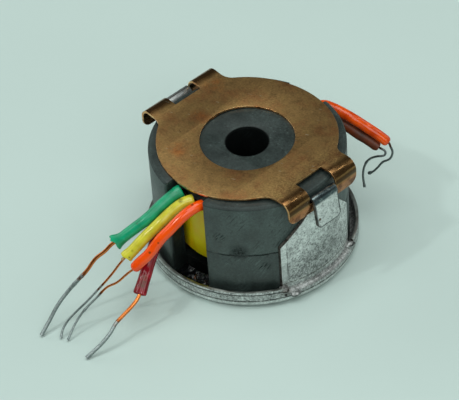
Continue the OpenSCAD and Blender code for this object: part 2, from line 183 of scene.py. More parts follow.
def merged_copy(node):
    """A copy of a CAD node, with its loose triangles merged into clean faces."""
    obj = frame["nodes"][node].copy()
    obj.data = obj.data.copy()
    bpy.context.scene.collection.objects.link(obj)
    obj.parent = None
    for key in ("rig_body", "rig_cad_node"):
        del obj[key]
    obj.data.materials.clear()
    only(obj)
    bpy.ops.mesh.customdata_custom_splitnormals_clear()
    bpy.ops.object.mode_set(mode="EDIT")
    bpy.ops.mesh.select_all(action="SELECT")
    bpy.ops.mesh.remove_doubles(threshold=1e-6)
    bpy.ops.mesh.dissolve_limited(angle_limit=math.radians(0.5))
    bpy.ops.object.mode_set(mode="OBJECT")
    return obj


def pick(obj, wanted):
    """Enter edit mode and select only the vertices whose place, in millimetres, is wanted."""
    only(obj)
    bpy.ops.object.mode_set(mode="EDIT")
    bpy.ops.mesh.select_all(action="DESELECT")
    mesh = bmesh.from_edit_mesh(obj.data)
    for vertex in mesh.verts:
        vertex.select_set(wanted(vertex.co / MM))
    mesh.select_flush(True)
    bmesh.update_edit_mesh(obj.data)


def squeeze(obj, wanted, centre, scale, reach=0.0):
    """Scale the wanted vertices about a centre; their neighbours follow as far as the reach."""
    pick(obj, wanted)
    bpy.ops.transform.resize(
        value=scale, center_override=Vector(centre) * MM, use_proportional_edit=reach > 0,
        proportional_edit_falloff="SMOOTH", proportional_size=max(reach, 0.1) * MM,
    )
    bpy.ops.object.mode_set(mode="OBJECT")


def pull(obj, wanted, by, reach=0.0):
    """Move the wanted vertices; their neighbours follow as far as the reach."""
    pick(obj, wanted)
    bpy.ops.transform.translate(
        value=Vector(by) * MM, use_proportional_edit=reach > 0,
        proportional_edit_falloff="SMOOTH", proportional_size=max(reach, 0.1) * MM,
    )
    bpy.ops.object.mode_set(mode="OBJECT")


def clouds(name, size):
    """A cloudy displacement texture with lumps of this many millimetres."""
    texture = bpy.data.textures.new(name, "CLOUDS")
    texture.noise_scale = size * MM
    return texture


def lump(place, scale, seed_size=0.5):
    """A small uneven lump at a place in millimetres, to be joined to a piece."""
    bpy.ops.mesh.primitive_ico_sphere_add(subdivisions=4, radius=MM / 2)
    drop = bpy.context.object
    drop.scale = scale
    drop.location = Vector(place) * MM
    settle(drop)
    modified(drop, "DISPLACE", texture=clouds("lump", seed_size), strength=0.28 * MM,
             mid_level=0.6, texture_coords="LOCAL")
    return drop


def joined(obj, extras):
    """Join extra objects to a piece."""
    only(obj)
    for extra in extras:
        extra.select_set(True)
    bpy.ops.object.join()
    return obj


# ---- Small helpers for materials ----


def put(tree, kind, *values, out=None, **settings):
    """Add a shader node with its settings, fill its inputs in order and return one output.

    A value is a number, a vector or a colour, or else another node's output to be linked.
    """
    node = tree.nodes.new("ShaderNode" + kind)
    for name, value in settings.items():
        setattr(node, name, value)
    sockets = [socket for socket in node.inputs if socket.enabled]
    for socket, value in zip(sockets, values):
        if isinstance(value, bpy.types.NodeSocket):
            tree.links.new(value, socket)
        else:
            socket.default_value = value
    if out is not None:
        return node.outputs[out]
    return next(socket for socket in node.outputs if socket.enabled)


def surface(name, **shader):
    """A material with one Principled shader, its node tree, its shader and object space."""
    material = bpy.data.materials.new(name)
    material.use_nodes = True
    tree = material.node_tree
    bsdf = tree.nodes["Principled BSDF"]
    for socket, value in shader.items():
        bsdf.inputs[socket.replace("_", " ")].default_value = value
    return material, tree, bsdf, put(tree, "TexCoord", out="Object")


def leaning(way):
    """The turn that points +Z along a direction."""
    return Vector(way).to_track_quat("Z", "Y").to_euler()


def near(tree, place, point, reach):
    """1 at a point given in millimetres, falling to 0 at the reach."""
    gap = put(tree, "VectorMath", place, Vector(point) * MM, operation="DISTANCE")
    return put(tree, "MapRange", gap, reach * MM, 0.35 * reach * MM)


def about(tree, value, middle, inner, outer):
    """1 within the inner distance of a height in millimetres, falling to 0 at the outer one."""
    above = put(tree, "Math", value, middle * MM, operation="SUBTRACT")
    gap = put(tree, "Math", above, operation="ABSOLUTE")
    return put(tree, "MapRange", gap, outer * MM, inner * MM)


def axes(tree, place):
    """X, Y, Z and the distance from the core's axis."""
    x, y, z = put(tree, "SeparateXYZ", place).node.outputs
    reach = put(tree, "VectorMath", put(tree, "CombineXYZ", x, y), operation="LENGTH")
    return x, y, z, reach


# ---- Materials ----


def ground_ferrite(colour):
    """Sintered manganese zinc ferrite, ground: dense and dark, with scuffs, a dirty joint and painted
    shade.
    """
    material, tree, bsdf, place = surface("manganese_zinc_ferrite_ground", IOR=1.55)
    _, _, z, reach = axes(tree, place)
    cloud = put(tree, "TexNoise", place, 1 / (3.2 * MM), 5.0, 0.6)
    grain = put(tree, "TexNoise", place, 1 / (0.26 * MM), 2.0, 0.6)
    # Scuffs 0.15 mm wide and about 2 mm long, in patches, slanted up to the right on the front
    long = put(
        tree, "Mapping", place, (0.0, 0.0, 0.0), leaning((0.44, 0.47, 0.77)), (1.0, 1.0, 7.0),
        vector_type="TEXTURE",
    )
    scratch = put(tree, "TexNoise", long, 1 / (0.3 * MM), 2.0, 0.6)
    patch = put(tree, "MapRange", put(tree, "TexNoise", place, 1 / (3.4 * MM), 1.0), 0.44, 0.58)
    dark_scuff = put(
        tree, "Math", put(tree, "MapRange", scratch, 0.42, 0.34, 0.0, 0.7), patch, operation="MULTIPLY",
    )
    pale_scuff = put(
        tree, "Math", put(tree, "MapRange", scratch, 0.6, 0.72, 0.0, 0.5), patch, operation="MULTIPLY",
    )
    tone = put(
        tree, "Math", put(tree, "MapRange", cloud, 0.3, 0.7, 0.62, 1.4),
        put(tree, "MapRange", grain, 0.3, 0.7, 0.7, 1.3), operation="MULTIPLY",
    )
    # The lower half is a little darker than the upper one
    tone = put(
        tree, "Math", tone, put(tree, "MapRange", z, JOINT_Z * MM, (JOINT_Z + 0.05) * MM, 0.72, 1.0),
        operation="MULTIPLY",
    )
    # Painted shade darkens the faces inside the slots and dims their shine
    slot_shade = put(
        tree, "Math",
        put(tree, "MapRange", reach, (CORE_RADIUS - 0.15) * MM, (CORE_RADIUS - 0.25) * MM),
        put(tree, "MapRange", z, (CORE_TOP - 0.3) * MM, (CORE_TOP - 0.4) * MM), operation="MULTIPLY",
    )
    tone = put(
        tree, "Math", tone, put(tree, "MapRange", slot_shade, 0.0, 1.0, 1.0, 0.4), operation="MULTIPLY",
    )
    # Painted shade darkens the top face, more so away from its outer edge
    top_shade = put(
        tree, "Math", put(tree, "MapRange", z, (CORE_TOP - 0.2) * MM, (CORE_TOP - 0.05) * MM),
        put(tree, "MapRange", reach, (CORE_RADIUS - 0.15) * MM, (CORE_RADIUS - 0.55) * MM, 0.0, 0.5),
        operation="MULTIPLY",
    )
    tone = put(
        tree, "Math", tone, put(tree, "Math", 1.0, top_shade, operation="SUBTRACT"), operation="MULTIPLY",
    )
    base = put(tree, "VectorMath", tuple(colour), tone, operation="SCALE")
    base = put(tree, "Mix", pale_scuff, base, tint("#5A6A66"), data_type="RGBA")
    base = put(tree, "Mix", dark_scuff, base, tint("#0C1211"), data_type="RGBA")
    # Dirt in the joint of the two halves, which wanders a little, and painted shade along the top outer
    # edge, where it hides the bevel's highlight
    wander = put(
        tree, "MapRange", put(tree, "TexNoise", place, 1 / (1.6 * MM), 3.0), 0.3, 0.7, -0.14 * MM,
        0.14 * MM,
    )
    joint = about(tree, put(tree, "Math", z, wander, operation="ADD"), JOINT_Z, 0.02, 0.2)
    joint = put(tree, "Math", joint, put(tree, "MapRange", cloud, 0.36, 0.56), operation="MULTIPLY")
    edge = put(
        tree, "Math", about(tree, z, CORE_TOP - 0.1, 0.16, 0.26),
        put(tree, "MapRange", reach, (CORE_RADIUS - 0.33) * MM, (CORE_RADIUS - 0.25) * MM, 0.0, 0.45),
        operation="MULTIPLY",
    )
    smudge = put(
        tree, "Math", near(tree, place, (8.2, -9.7, 9.1), 1.5),
        put(tree, "MapRange", grain, 0.35, 0.6, 0.3, 0.9), operation="MULTIPLY",
    )
    for spot in ((6.2, -11.1, 11.3), (10.3, -7.5, 6.3)):
        scuff = put(
            tree, "Math", near(tree, place, spot, 1.0), put(tree, "MapRange", scratch, 0.55, 0.4),
            operation="MULTIPLY",
        )
        smudge = put(tree, "Math", smudge, scuff, operation="MAXIMUM")
    # Painted shade at the foot of the front slot, beside the wax
    black = near(tree, place, (1.2, -10.6, 1.5), 3.4)
    dirt = put(
        tree, "Math", put(tree, "Math", joint, edge, operation="MAXIMUM"),
        put(tree, "Math", smudge, black, operation="MAXIMUM"), operation="MAXIMUM",
    )
    # Painted shade down the bore
    dirt = put(
        tree, "Math", dirt, put(tree, "MapRange", reach, 3.0 * MM, 2.8 * MM), operation="MAXIMUM",
    )
    base = put(
        tree, "Mix", put(tree, "Math", dirt, 0.93, operation="MULTIPLY"), base, tint("#050707"),
        data_type="RGBA",
    )
    tree.links.new(base, bsdf.inputs["Base Color"])
    rough = put(
        tree, "Math", put(tree, "MapRange", cloud, 0.3, 0.7, 0.38, 0.56),
        put(tree, "Math", dirt, 0.2, operation="MULTIPLY"), operation="ADD",
    )
    tree.links.new(rough, bsdf.inputs["Roughness"])
    shine = put(
        tree, "Math", put(tree, "MapRange", dirt, 0.0, 1.0, 0.5, 0.1),
        put(tree, "MapRange", slot_shade, 0.0, 1.0, 1.0, 0.6), operation="MULTIPLY",
    )
    tree.links.new(shine, bsdf.inputs["Specular IOR Level"])
    relief = put(tree, "Math", grain, scratch, operation="ADD")
    tree.links.new(put(tree, "Bump", 1.0, 0.014 * MM, 0.1, relief), bsdf.inputs["Normal"])
    return material


def tarnished_bronze(colour):
    """Rolled phosphor bronze, years old: brown with orange clouds, golden where it was rubbed, with
    painted sheen and shade.
    """
    material, tree, bsdf, place = surface("phosphor_bronze_tarnished", Metallic=1.0)
    x, y, z, _ = axes(tree, place)
    cloud = put(tree, "TexNoise", place, 1 / (3.4 * MM), 6.0, 0.6)
    stain = put(tree, "TexNoise", place, 1 / (1.1 * MM), 4.0, 0.6)
    grain = put(tree, "TexNoise", place, 1 / (0.24 * MM), 3.0, 0.65)
    base = put(
        tree, "Mix", put(tree, "MapRange", cloud, 0.46, 0.7, 0.0, 0.6), tuple(colour) + (1.0,),
        tint("#B07048"), data_type="RGBA",
    )
    base = put(
        tree, "Mix", put(tree, "MapRange", stain, 0.5, 0.72, 0.0, 0.45), base, tint("#8A7444"),
        data_type="RGBA",
    )
    # Orange patches at three places on the ring
    for spot, size in (((-7.5, -1.3, 17.2), 1.6), ((-10.4, 4.1, 17.0), 1.8),
                       ((-5.0, -7.4, 17.3), 1.6)):
        patch = put(
            tree, "Math", near(tree, place, spot, size),
            put(tree, "MapRange", stain, 0.36, 0.6, 0.0, 0.55), operation="MULTIPLY",
        )
        base = put(tree, "Mix", patch, base, tint("#B86A34"), data_type="RGBA")
    # Rubbed golden and speckled beside the lug at +X, partly wear and partly a painted sheen
    rubbed = put(
        tree, "Math", put(tree, "MapRange", x, 7.5 * MM, 11.0 * MM),
        put(tree, "MapRange", grain, 0.42, 0.62), operation="MULTIPLY",
    )
    rubbed = put(
        tree, "Math", rubbed, put(tree, "MapRange", z, (CORE_TOP - 0.3) * MM, (CORE_TOP + 0.1) * MM),
        operation="MULTIPLY",
    )
    base = put(
        tree, "Mix", put(tree, "Math", rubbed, 0.28, operation="MULTIPLY"), base, tint("#E0C07C"),
        data_type="RGBA",
    )
    # Painted shade over the left of the ring, holding back the left lamp's glare
    tone = put(tree, "MapRange", near(tree, place, (-8.5, -3.0, 17.2), 7.0), 0.0, 1.0, 1.0, 0.82)
    base = put(tree, "VectorMath", base, tone, operation="SCALE")
    # Coppery flanges below the bends
    flange = put(tree, "MapRange", z, (CORE_TOP - 0.6) * MM, (CORE_TOP - 1.2) * MM)
    coppery = put(
        tree, "Mix", put(tree, "MapRange", stain, 0.4, 0.6), tint("#D08C5C"), tint("#84502E"),
        data_type="RGBA",
    )
    base = put(tree, "Mix", flange, base, coppery, data_type="RGBA")
    # The grain shows on the flat of the ring, which is lighter at the front, not on the bends
    bend = put(tree, "MapRange", put(tree, "Math", x, operation="ABSOLUTE"), 11.6 * MM, 12.4 * MM)
    flat = put(
        tree, "Math", 1.0, put(tree, "Math", bend, 0.75, operation="MULTIPLY"), operation="SUBTRACT",
    )
    # Painted dark reflection: the upper part of each bend is browned
    browned = put(
        tree, "Math", bend,
        put(tree, "MapRange", z, (CORE_TOP - 0.6) * MM, (CORE_TOP - 0.4) * MM, 0.0, 0.5),
        operation="MULTIPLY",
    )
    base = put(tree, "Mix", browned, base, tint("#94603A"), data_type="RGBA")
    speckle = put(
        tree, "Math", put(tree, "MapRange", grain, 0.3, 0.7, -0.26, 0.26), flat, operation="MULTIPLY",
    )
    tone = put(
        tree, "Math", put(tree, "MapRange", cloud, 0.3, 0.7, 1.1, 0.9),
        put(tree, "MapRange", y, -3.0 * MM, -10.0 * MM, 1.0, 1.3), operation="MULTIPLY",
    )
    tone = put(
        tree, "Math", put(tree, "Math", speckle, 1.0, operation="ADD"), tone, operation="MULTIPLY",
    )
    base = put(tree, "VectorMath", base, tone, operation="SCALE")
    # A painted dark reflection runs along the outside of each bend, and the bends are painted darker as
    # a whole
    band = put(tree, "Math", bend, about(tree, z, CORE_TOP - 0.35, 0.25, 0.5), operation="MULTIPLY")
    tone = put(
        tree, "Math", put(tree, "MapRange", bend, 0.0, 1.0, 1.0, 0.7),
        put(tree, "MapRange", band, 0.0, 1.0, 1.0, 0.3), operation="MULTIPLY",
    )
    base = put(tree, "VectorMath", base, tone, operation="SCALE")
    spots = put(
        tree, "MapRange", put(tree, "TexNoise", place, 1 / (0.4 * MM), 3.0, 0.7), 0.35, 0.27, 0.0, 0.7,
    )
    spots = put(tree, "Math", spots, flat, operation="MULTIPLY")
    base = put(tree, "Mix", spots, base, tint("#3A2A18"), data_type="RGBA")
    # A few light scratches under 1 mm long
    long = put(
        tree, "Mapping", place, (0.0, 0.0, 0.0), leaning((0.9, 0.45, 0.0)), (1.0, 1.0, 8.0),
        vector_type="TEXTURE",
    )
    nick = put(tree, "MapRange", put(tree, "TexNoise", long, 1 / (0.2 * MM), 1.0), 0.76, 0.8, 0.0, 0.8)
    for spot in ((-6.1, 0.1, 17.4), (3.7, 6.3, 17.4)):
        rub = put(
            tree, "Math", near(tree, place, spot, 0.5), put(tree, "MapRange", grain, 0.45, 0.55),
            operation="MULTIPLY",
        )
        nick = put(tree, "Math", nick, rub, operation="MAXIMUM")
    base = put(tree, "Mix", nick, base, tint("#E4D8B8"), data_type="RGBA")
    tree.links.new(base, bsdf.inputs["Base Color"])
    # The bends over the lugs are worn smooth
    rough = put(
        tree, "Math", put(tree, "MapRange", stain, 0.3, 0.7, 0.42, 0.54),
        put(tree, "Math", bend, 0.24, operation="MULTIPLY"), operation="SUBTRACT",
    )
    tree.links.new(rough, bsdf.inputs["Roughness"])
    relief = put(
        tree, "Math", grain, put(tree, "MapRange", bend, 0.0, 0.5, 1.0, 0.0), operation="MULTIPLY",
    )
    tree.links.new(put(tree, "Bump", 1.0, 0.005 * MM, 0.1, relief), bsdf.inputs["Normal"])
    return material


def cut_bronze():
    """The stamped edge of the bronze, rubbed bright: golden, with coppery stretches."""
    material, tree, bsdf, place = surface("phosphor_bronze_cut_edge", Metallic=1.0, Roughness=0.3)
    stretch = put(tree, "TexNoise", place, 1 / (1.2 * MM), 4.0, 0.7)
    base = put(
        tree, "Mix", put(tree, "MapRange", stretch, 0.38, 0.62), tint("#EEC48A"), tint("#B8784A"),
        data_type="RGBA",
    )
    dull = put(tree, "MapRange", put(tree, "TexNoise", place, 1 / (0.5 * MM), 3.0), 0.6, 0.7, 0.0, 0.6)
    base = put(tree, "Mix", dull, base, tint("#5C4028"), data_type="RGBA")
    tree.links.new(base, bsdf.inputs["Base Color"])
    return material


def tinned_steel(colour):
    """Hot tinned steel sheet gone dull: light grey, crazed with dark specks that crowd low down."""
    material, tree, bsdf, place = surface("steel_sheet_tinned", Metallic=0.9)
    x, y, z, reach = axes(tree, place)
    cloud = put(tree, "TexNoise", place, 1 / (2.4 * MM), 5.0, 0.6)
    mottle = put(tree, "TexNoise", place, 1 / (0.7 * MM), 4.0, 0.7)
    fine = put(tree, "TexNoise", place, 1 / (0.26 * MM), 3.0, 0.7)
    tone = put(
        tree, "Math", put(tree, "MapRange", mottle, 0.3, 0.7, 0.82, 1.16),
        put(tree, "MapRange", fine, 0.3, 0.7, 0.8, 1.16), operation="MULTIPLY",
    )
    tone = put(
        tree, "Math", put(tree, "MapRange", cloud, 0.3, 0.7, 0.8, 1.12), tone, operation="MULTIPLY",
    )
    base = put(tree, "VectorMath", tuple(colour), tone, operation="SCALE")
    # The middle of the +X ear is darker, and so are both ears' lower halves
    tone = put(tree, "MapRange", near(tree, place, (13.4, 0.3, 6.0), 4.5), 0.0, 1.0, 1.0, 0.78)
    base = put(tree, "VectorMath", base, tone, operation="SCALE")
    low = put(
        tree, "Math", put(tree, "MapRange", z, 9.5 * MM, 6.0 * MM),
        put(tree, "MapRange", z, 3.0 * MM, 3.5 * MM), operation="MULTIPLY",
    )
    base = put(
        tree, "VectorMath", base, put(tree, "MapRange", low, 0.0, 1.0, 1.0, 0.85), operation="SCALE",
    )
    # Soft dark specks of 0.1 to 0.3 mm thin out from the rim up to the folded leaf
    drift = put(
        tree, "MapRange", put(tree, "Math", cloud, mottle, operation="ADD"), 0.75, 1.25, 0.1, -0.1,
    )
    limit = put(
        tree, "Math", put(tree, "MapRange", z, 2.4 * MM, 12.0 * MM, 0.53, 0.37), drift, operation="ADD",
    )
    speck = put(
        tree, "MapRange", put(tree, "Math", limit, fine, operation="SUBTRACT"), -0.12, 0.2, 0.0, 0.72,
    )
    pin = put(
        tree, "Math",
        put(tree, "MapRange", put(tree, "TexNoise", place, 1 / (0.34 * MM), 2.0, 0.5), 0.3, 0.24),
        put(tree, "MapRange", z, 5.0 * MM, 12.0 * MM, 0.9, 0.5), operation="MULTIPLY",
    )
    speck = put(tree, "Math", speck, pin, operation="MAXIMUM")
    # A clean strip along the ear's edge towards the front slot, with a dashed line beside it
    edge = put(tree, "MapRange", y, -5.1 * MM, -5.35 * MM)
    edge = put(tree, "Math", edge, put(tree, "MapRange", z, 3.2 * MM, 3.8 * MM), operation="MULTIPLY")
    dirty = put(
        tree, "Math", 1.0, put(tree, "Math", edge, 0.85, operation="MULTIPLY"), operation="SUBTRACT",
    )
    speck = put(tree, "Math", speck, dirty, operation="MULTIPLY")
    upright = put(
        tree, "Mapping", place, (0.0, 0.0, 0.0), leaning((0, 0, 1)), (1.0, 1.0, 4.0),
        vector_type="TEXTURE",
    )
    dash = put(tree, "MapRange", put(tree, "TexNoise", upright, 1 / (0.5 * MM), 3.0), 0.45, 0.55)
    dash = put(tree, "Math", about(tree, y, -5.15, 0.03, 0.12), dash, operation="MULTIPLY")
    dash = put(tree, "Math", dash, put(tree, "MapRange", z, 3.0 * MM, 3.4 * MM), operation="MULTIPLY")
    speck = put(
        tree, "Math", speck, put(tree, "Math", dash, 0.7, operation="MULTIPLY"), operation="MAXIMUM",
    )
    # The rim is darker: streaked above, smooth and light in a band along its foot
    rim = put(
        tree, "Math", put(tree, "MapRange", z, RIM_TOP * MM, (RIM_TOP - 0.4) * MM),
        put(tree, "MapRange", reach, (RIM_RADIUS - 0.35) * MM, (RIM_RADIUS - 0.2) * MM),
        operation="MULTIPLY",
    )
    upright = put(
        tree, "Mapping", place, (0.0, 0.0, 0.0), leaning((0, 0, 1)), (1.0, 1.0, 2.0),
        vector_type="TEXTURE",
    )
    streak = put(
        tree, "MapRange", put(tree, "TexNoise", upright, 1 / (0.3 * MM), 3.0, 0.7), 0.36, 0.6, 0.5, 0.0,
    )
    beside = put(
        tree, "Math", put(tree, "MapRange", x, 10.8 * MM, 11.4 * MM),
        put(tree, "MapRange", put(tree, "Math", y, operation="ABSOLUTE"), 6.2 * MM, 5.4 * MM),
        operation="MULTIPLY",
    )
    streak = put(
        tree, "Math", streak, put(tree, "MapRange", beside, 0.0, 1.0, 1.0, 0.25), operation="MULTIPLY",
    )
    wall = put(tree, "Math", rim, put(tree, "MapRange", z, 1.45 * MM, 1.6 * MM), operation="MULTIPLY")
    foot = put(tree, "Math", rim, put(tree, "MapRange", z, 1.4 * MM, 1.25 * MM), operation="MULTIPLY")
    speck = put(
        tree, "Math", speck, put(tree, "Math", wall, streak, operation="MULTIPLY"), operation="MAXIMUM",
    )
    dirty = put(
        tree, "Math", 1.0, put(tree, "Math", foot, 0.8, operation="MULTIPLY"), operation="SUBTRACT",
    )
    speck = put(tree, "Math", speck, dirty, operation="MULTIPLY")
    foot_of_ear = put(
        tree, "Math", beside, put(tree, "MapRange", z, 3.1 * MM, 2.9 * MM), operation="MULTIPLY",
    )
    speck = put(
        tree, "Math", speck, put(tree, "MapRange", foot_of_ear, 0.0, 1.0, 1.0, 0.8),
        operation="MULTIPLY",
    )
    base = put(tree, "Mix", speck, base, tint("#303432"), data_type="RGBA")
    # Dirt in the bend at the rim's foot, painted shadow round the folded leaf, and rust at the ear's
    # foot
    grime = put(
        tree, "Math", about(tree, z, 1.45, 0.03, 0.2), put(tree, "MapRange", mottle, 0.36, 0.5),
        operation="MULTIPLY",
    )
    grime = put(
        tree, "Math", grime,
        put(tree, "MapRange", reach, (RIM_RADIUS - 0.25) * MM, (RIM_RADIUS - 0.1) * MM),
        operation="MULTIPLY",
    )
    ledge = put(tree, "Math", wall, about(tree, z, 2.5, 0.04, 0.16), operation="MULTIPLY")
    grime = put(tree, "Math", grime, ledge, operation="MAXIMUM")
    base = put(
        tree, "Mix", put(tree, "Math", grime, 0.85, operation="MULTIPLY"), base, tint("#1E1F1D"),
        data_type="RGBA",
    )
    # Painted shadow of the gap under the folded leaf, along its rounded edge, 4 mm wide with corners of
    # 0.7 mm
    side = put(
        tree, "Math", put(tree, "Math", y, 0.25 * MM, operation="SUBTRACT"), operation="ABSOLUTE",
    )
    side = put(
        tree, "Math", put(tree, "Math", side, 1.3 * MM, operation="SUBTRACT"), 0.0, operation="MAXIMUM",
    )
    down = put(
        tree, "Math", put(tree, "Math", 12.38 * MM, z, operation="SUBTRACT"), 0.0, operation="MAXIMUM",
    )
    corner = put(tree, "VectorMath", put(tree, "CombineXYZ", side, down), operation="LENGTH")
    leaf_gap_shadow = put(tree, "MapRange", corner, 0.46 * MM, 0.6 * MM)
    leaf = put(
        tree, "Math",
        put(tree, "MapRange", put(tree, "Math", x, operation="ABSOLUTE"), 13.6 * MM, 13.7 * MM),
        put(tree, "MapRange", z, 11.0 * MM, 11.1 * MM), operation="MULTIPLY",
    )
    leaf_gap_shadow = put(tree, "Math", leaf_gap_shadow, leaf, operation="MULTIPLY")
    base = put(
        tree, "Mix", put(tree, "Math", leaf_gap_shadow, 0.85, operation="MULTIPLY"), base, tint("#1A1F21"),
        data_type="RGBA",
    )
    # Painted shade darkens the crest of the folded tongue at -X
    crest = put(
        tree, "Math", put(tree, "MapRange", z, 15.2 * MM, 15.5 * MM),
        put(tree, "MapRange", x, 0.0, -1.0 * MM), operation="MULTIPLY",
    )
    base = put(
        tree, "VectorMath", base, put(tree, "MapRange", crest, 0.0, 1.0, 1.0, 0.55), operation="SCALE",
    )
    # The crest of the folded tongue at +X is smooth, with a painted dark reflection
    crest = put(
        tree, "Math", put(tree, "MapRange", z, 15.2 * MM, 15.5 * MM),
        put(tree, "MapRange", x, 0.0, 1.0 * MM), operation="MULTIPLY",
    )
    bare = put(
        tree, "Mix", put(tree, "MapRange", mottle, 0.5, 0.7), tint("#4A5558"), tint("#8A9492"),
        data_type="RGBA",
    )
    base = put(tree, "Mix", crest, base, bare, data_type="RGBA")
    crease = put(
        tree, "Math", about(tree, z, 3.05, 0.04, 0.16),
        put(tree, "MapRange", reach, 13.55 * MM, 13.35 * MM), operation="MULTIPLY",
    )
    outward = put(tree, "MapRange", put(tree, "Math", x, operation="ABSOLUTE"), 11.0 * MM, 11.3 * MM)
    across = put(tree, "MapRange", put(tree, "Math", y, operation="ABSOLUTE"), 6.4 * MM, 6.1 * MM)
    ears = put(tree, "Math", outward, across, operation="MULTIPLY")
    rust = put(
        tree, "Math", put(tree, "Math", crease, ears, operation="MULTIPLY"),
        put(tree, "MapRange", mottle, 0.36, 0.56), operation="MULTIPLY",
    )
    corner = put(
        tree, "Math", near(tree, place, (12.4, -5.9, 2.4), 1.1), put(tree, "MapRange", fine, 0.3, 0.5),
        operation="MULTIPLY",
    )
    rust = put(tree, "Math", rust, corner, operation="MAXIMUM")
    base = put(
        tree, "Mix", put(tree, "Math", rust, 0.65, operation="MULTIPLY"), base, tint("#3E3024"),
        data_type="RGBA",
    )
    # The biggest lump of tin is dark, and a dot of rust sits on the folded leaf
    tone = put(tree, "MapRange", near(tree, place, (12.9, -4.6, 1.6), 1.3), 0.0, 1.0, 1.0, 0.55)
    base = put(tree, "VectorMath", base, tone, operation="SCALE")
    dot = put(tree, "MapRange", near(tree, place, (14.2, -1.3, 13.0), 0.4), 0.2, 0.6)
    base = put(tree, "Mix", dot, base, tint("#4E3018"), data_type="RGBA")
    tree.links.new(base, bsdf.inputs["Base Color"])
    rough = put(
        tree, "Math", put(tree, "MapRange", cloud, 0.3, 0.7, 0.36, 0.48),
        put(tree, "Math", speck, 0.25, operation="MULTIPLY"), operation="ADD",
    )
    rough = put(
        tree, "Math", rough, put(tree, "Math", crest, 0.14, operation="MULTIPLY"), operation="SUBTRACT",
    )
    tree.links.new(rough, bsdf.inputs["Roughness"])
    relief = put(
        tree, "Math", fine, put(tree, "Math", 1.0, crest, operation="SUBTRACT"), operation="MULTIPLY",
    )
    tree.links.new(put(tree, "Bump", 1.0, 0.01 * MM, 0.1, relief), bsdf.inputs["Normal"])
    return material


def sheared_steel():
    """The sheared edge of the sheet, where tin is missing: brown and rough, bright in places."""
    material, tree, bsdf, place = surface("steel_sheared_edge", Metallic=0.6, Roughness=0.5)
    patch = put(tree, "TexNoise", place, 1 / (0.7 * MM), 4.0, 0.7)
    base = put(
        tree, "Mix", put(tree, "MapRange", patch, 0.4, 0.62), tint("#2C2622"), tint("#6E6962"),
        data_type="RGBA",
    )
    tree.links.new(base, bsdf.inputs["Base Color"])
    return material


def rubbed_tin():
    """The rim's top edge, rubbed bright through the dull tin, with gaps."""
    material, tree, bsdf, place = surface("steel_rim_rubbed", Metallic=1.0, Roughness=0.34)
    patch = put(tree, "TexNoise", place, 1 / (1.6 * MM), 2.0)
    base = put(
        tree, "Mix", put(tree, "MapRange", patch, 0.36, 0.62), tint("#8E8E88"), tint("#C4CAC4"),
        data_type="RGBA",
    )
    tree.links.new(base, bsdf.inputs["Base Color"])
    return material


def moulded_resin():
    """Black phenolic moulding: dull, with a mould grain of 0.3 mm."""
    material, tree, bsdf, place = surface("phenolic_moulded", Roughness=0.45)
    grain = put(tree, "TexNoise", place, 1 / (0.3 * MM), 3.0)
    base = put(tree, "Mix", grain, tint("#080909"), tint("#121313"), data_type="RGBA")
    tree.links.new(base, bsdf.inputs["Base Color"])
    tree.links.new(put(tree, "Bump", 1.0, 0.01 * MM, 0.1, grain), bsdf.inputs["Normal"])
    return material


def polyester_tape(colour):
    """Polyester film tape: saturated yellow and glossy, with wrinkles and painted shade."""
    material, tree, bsdf, place = surface("polyester_tape_wound", Roughness=0.3, IOR=1.4,
                                          Subsurface_Weight=0.2, Subsurface_Scale=0.5 * MM)
    x, _, z, _ = axes(tree, place)
    ripple = put(tree, "TexNoise", place, 1 / (2.4 * MM), 3.0)
    base = put(
        tree, "Mix", put(tree, "MapRange", ripple, 0.35, 0.65), tuple(colour) + (1.0,), tint("#FFD000"),
        data_type="RGBA",
    )
    # Painted shade: olive left of the last turn's end, a painted reflection of the dark slot wall, and
    # darker towards the foot
    shade = put(tree, "MapRange", x, -0.3 * MM, -0.9 * MM, 0.0, 0.5)
    shade = put(
        tree, "Math", shade, put(tree, "MapRange", z, 6.5 * MM, 4.5 * MM, 0.0, 0.4),
        operation="MAXIMUM",
    )
    base = put(tree, "Mix", shade, base, tint("#8A7C04"), data_type="RGBA")
    tree.links.new(base, bsdf.inputs["Base Color"])
    tree.links.new(put(tree, "Bump", 1.0, 0.06 * MM, 0.1, ripple), bsdf.inputs["Normal"])
    return material


def wound_copper():
    """Enamelled winding wire: red-brown under varnish, in turns 0.45 mm apart."""
    material, tree, bsdf, place = surface("enamelled_copper_wound", Metallic=0.9, Roughness=0.3)
    # A wave texture of scale 1 repeats every 0.314 of a unit
    turns = put(tree, "TexWave", place, 0.314 / (0.45 * MM), bands_direction="Z", out="Fac")
    # Painted shade in the grooves between the turns
    base = put(tree, "Mix", turns, tint("#5E2A12"), tint("#B4622E"), data_type="RGBA")
    tree.links.new(base, bsdf.inputs["Base Color"])
    tree.links.new(put(tree, "Bump", 1.0, 0.1 * MM, 0.1, turns), bsdf.inputs["Normal"])
    return material


def black_wax():
    """Hardened black potting wax: glossy and wrinkled, dusty on its crests, with a painted glint."""
    material, tree, bsdf, place = surface("potting_wax_hardened", Roughness=0.12)
    fold = put(tree, "TexNoise", place, 1 / (0.9 * MM), 4.0, 0.6)
    dust = put(
        tree, "MapRange", put(tree, "TexNoise", place, 1 / (1.2 * MM), 4.0, 0.7), 0.5, 0.7, 0.0, 0.2,
    )
    base = put(tree, "Mix", dust, tint("#060708"), tint("#303A40"), data_type="RGBA")
    base = put(
        tree, "Mix", near(tree, place, (1.3, -11.7, 1.4), 0.35), base, tint("#A0603A"),
        data_type="RGBA",
    )
    # A painted highlight: a light grey glint on the wax
    base = put(
        tree, "Mix", near(tree, place, (-1.6, -12.1, 1.4), 0.25), base, tint("#A8B4B4"),
        data_type="RGBA",
    )
    tree.links.new(base, bsdf.inputs["Base Color"])
    tree.links.new(put(tree, "MapRange", dust, 0.0, 0.2, 0.12, 0.35), bsdf.inputs["Roughness"])
    tree.links.new(put(tree, "Bump", 1.0, 0.06 * MM, 0.1, fold), bsdf.inputs["Normal"])
    return material


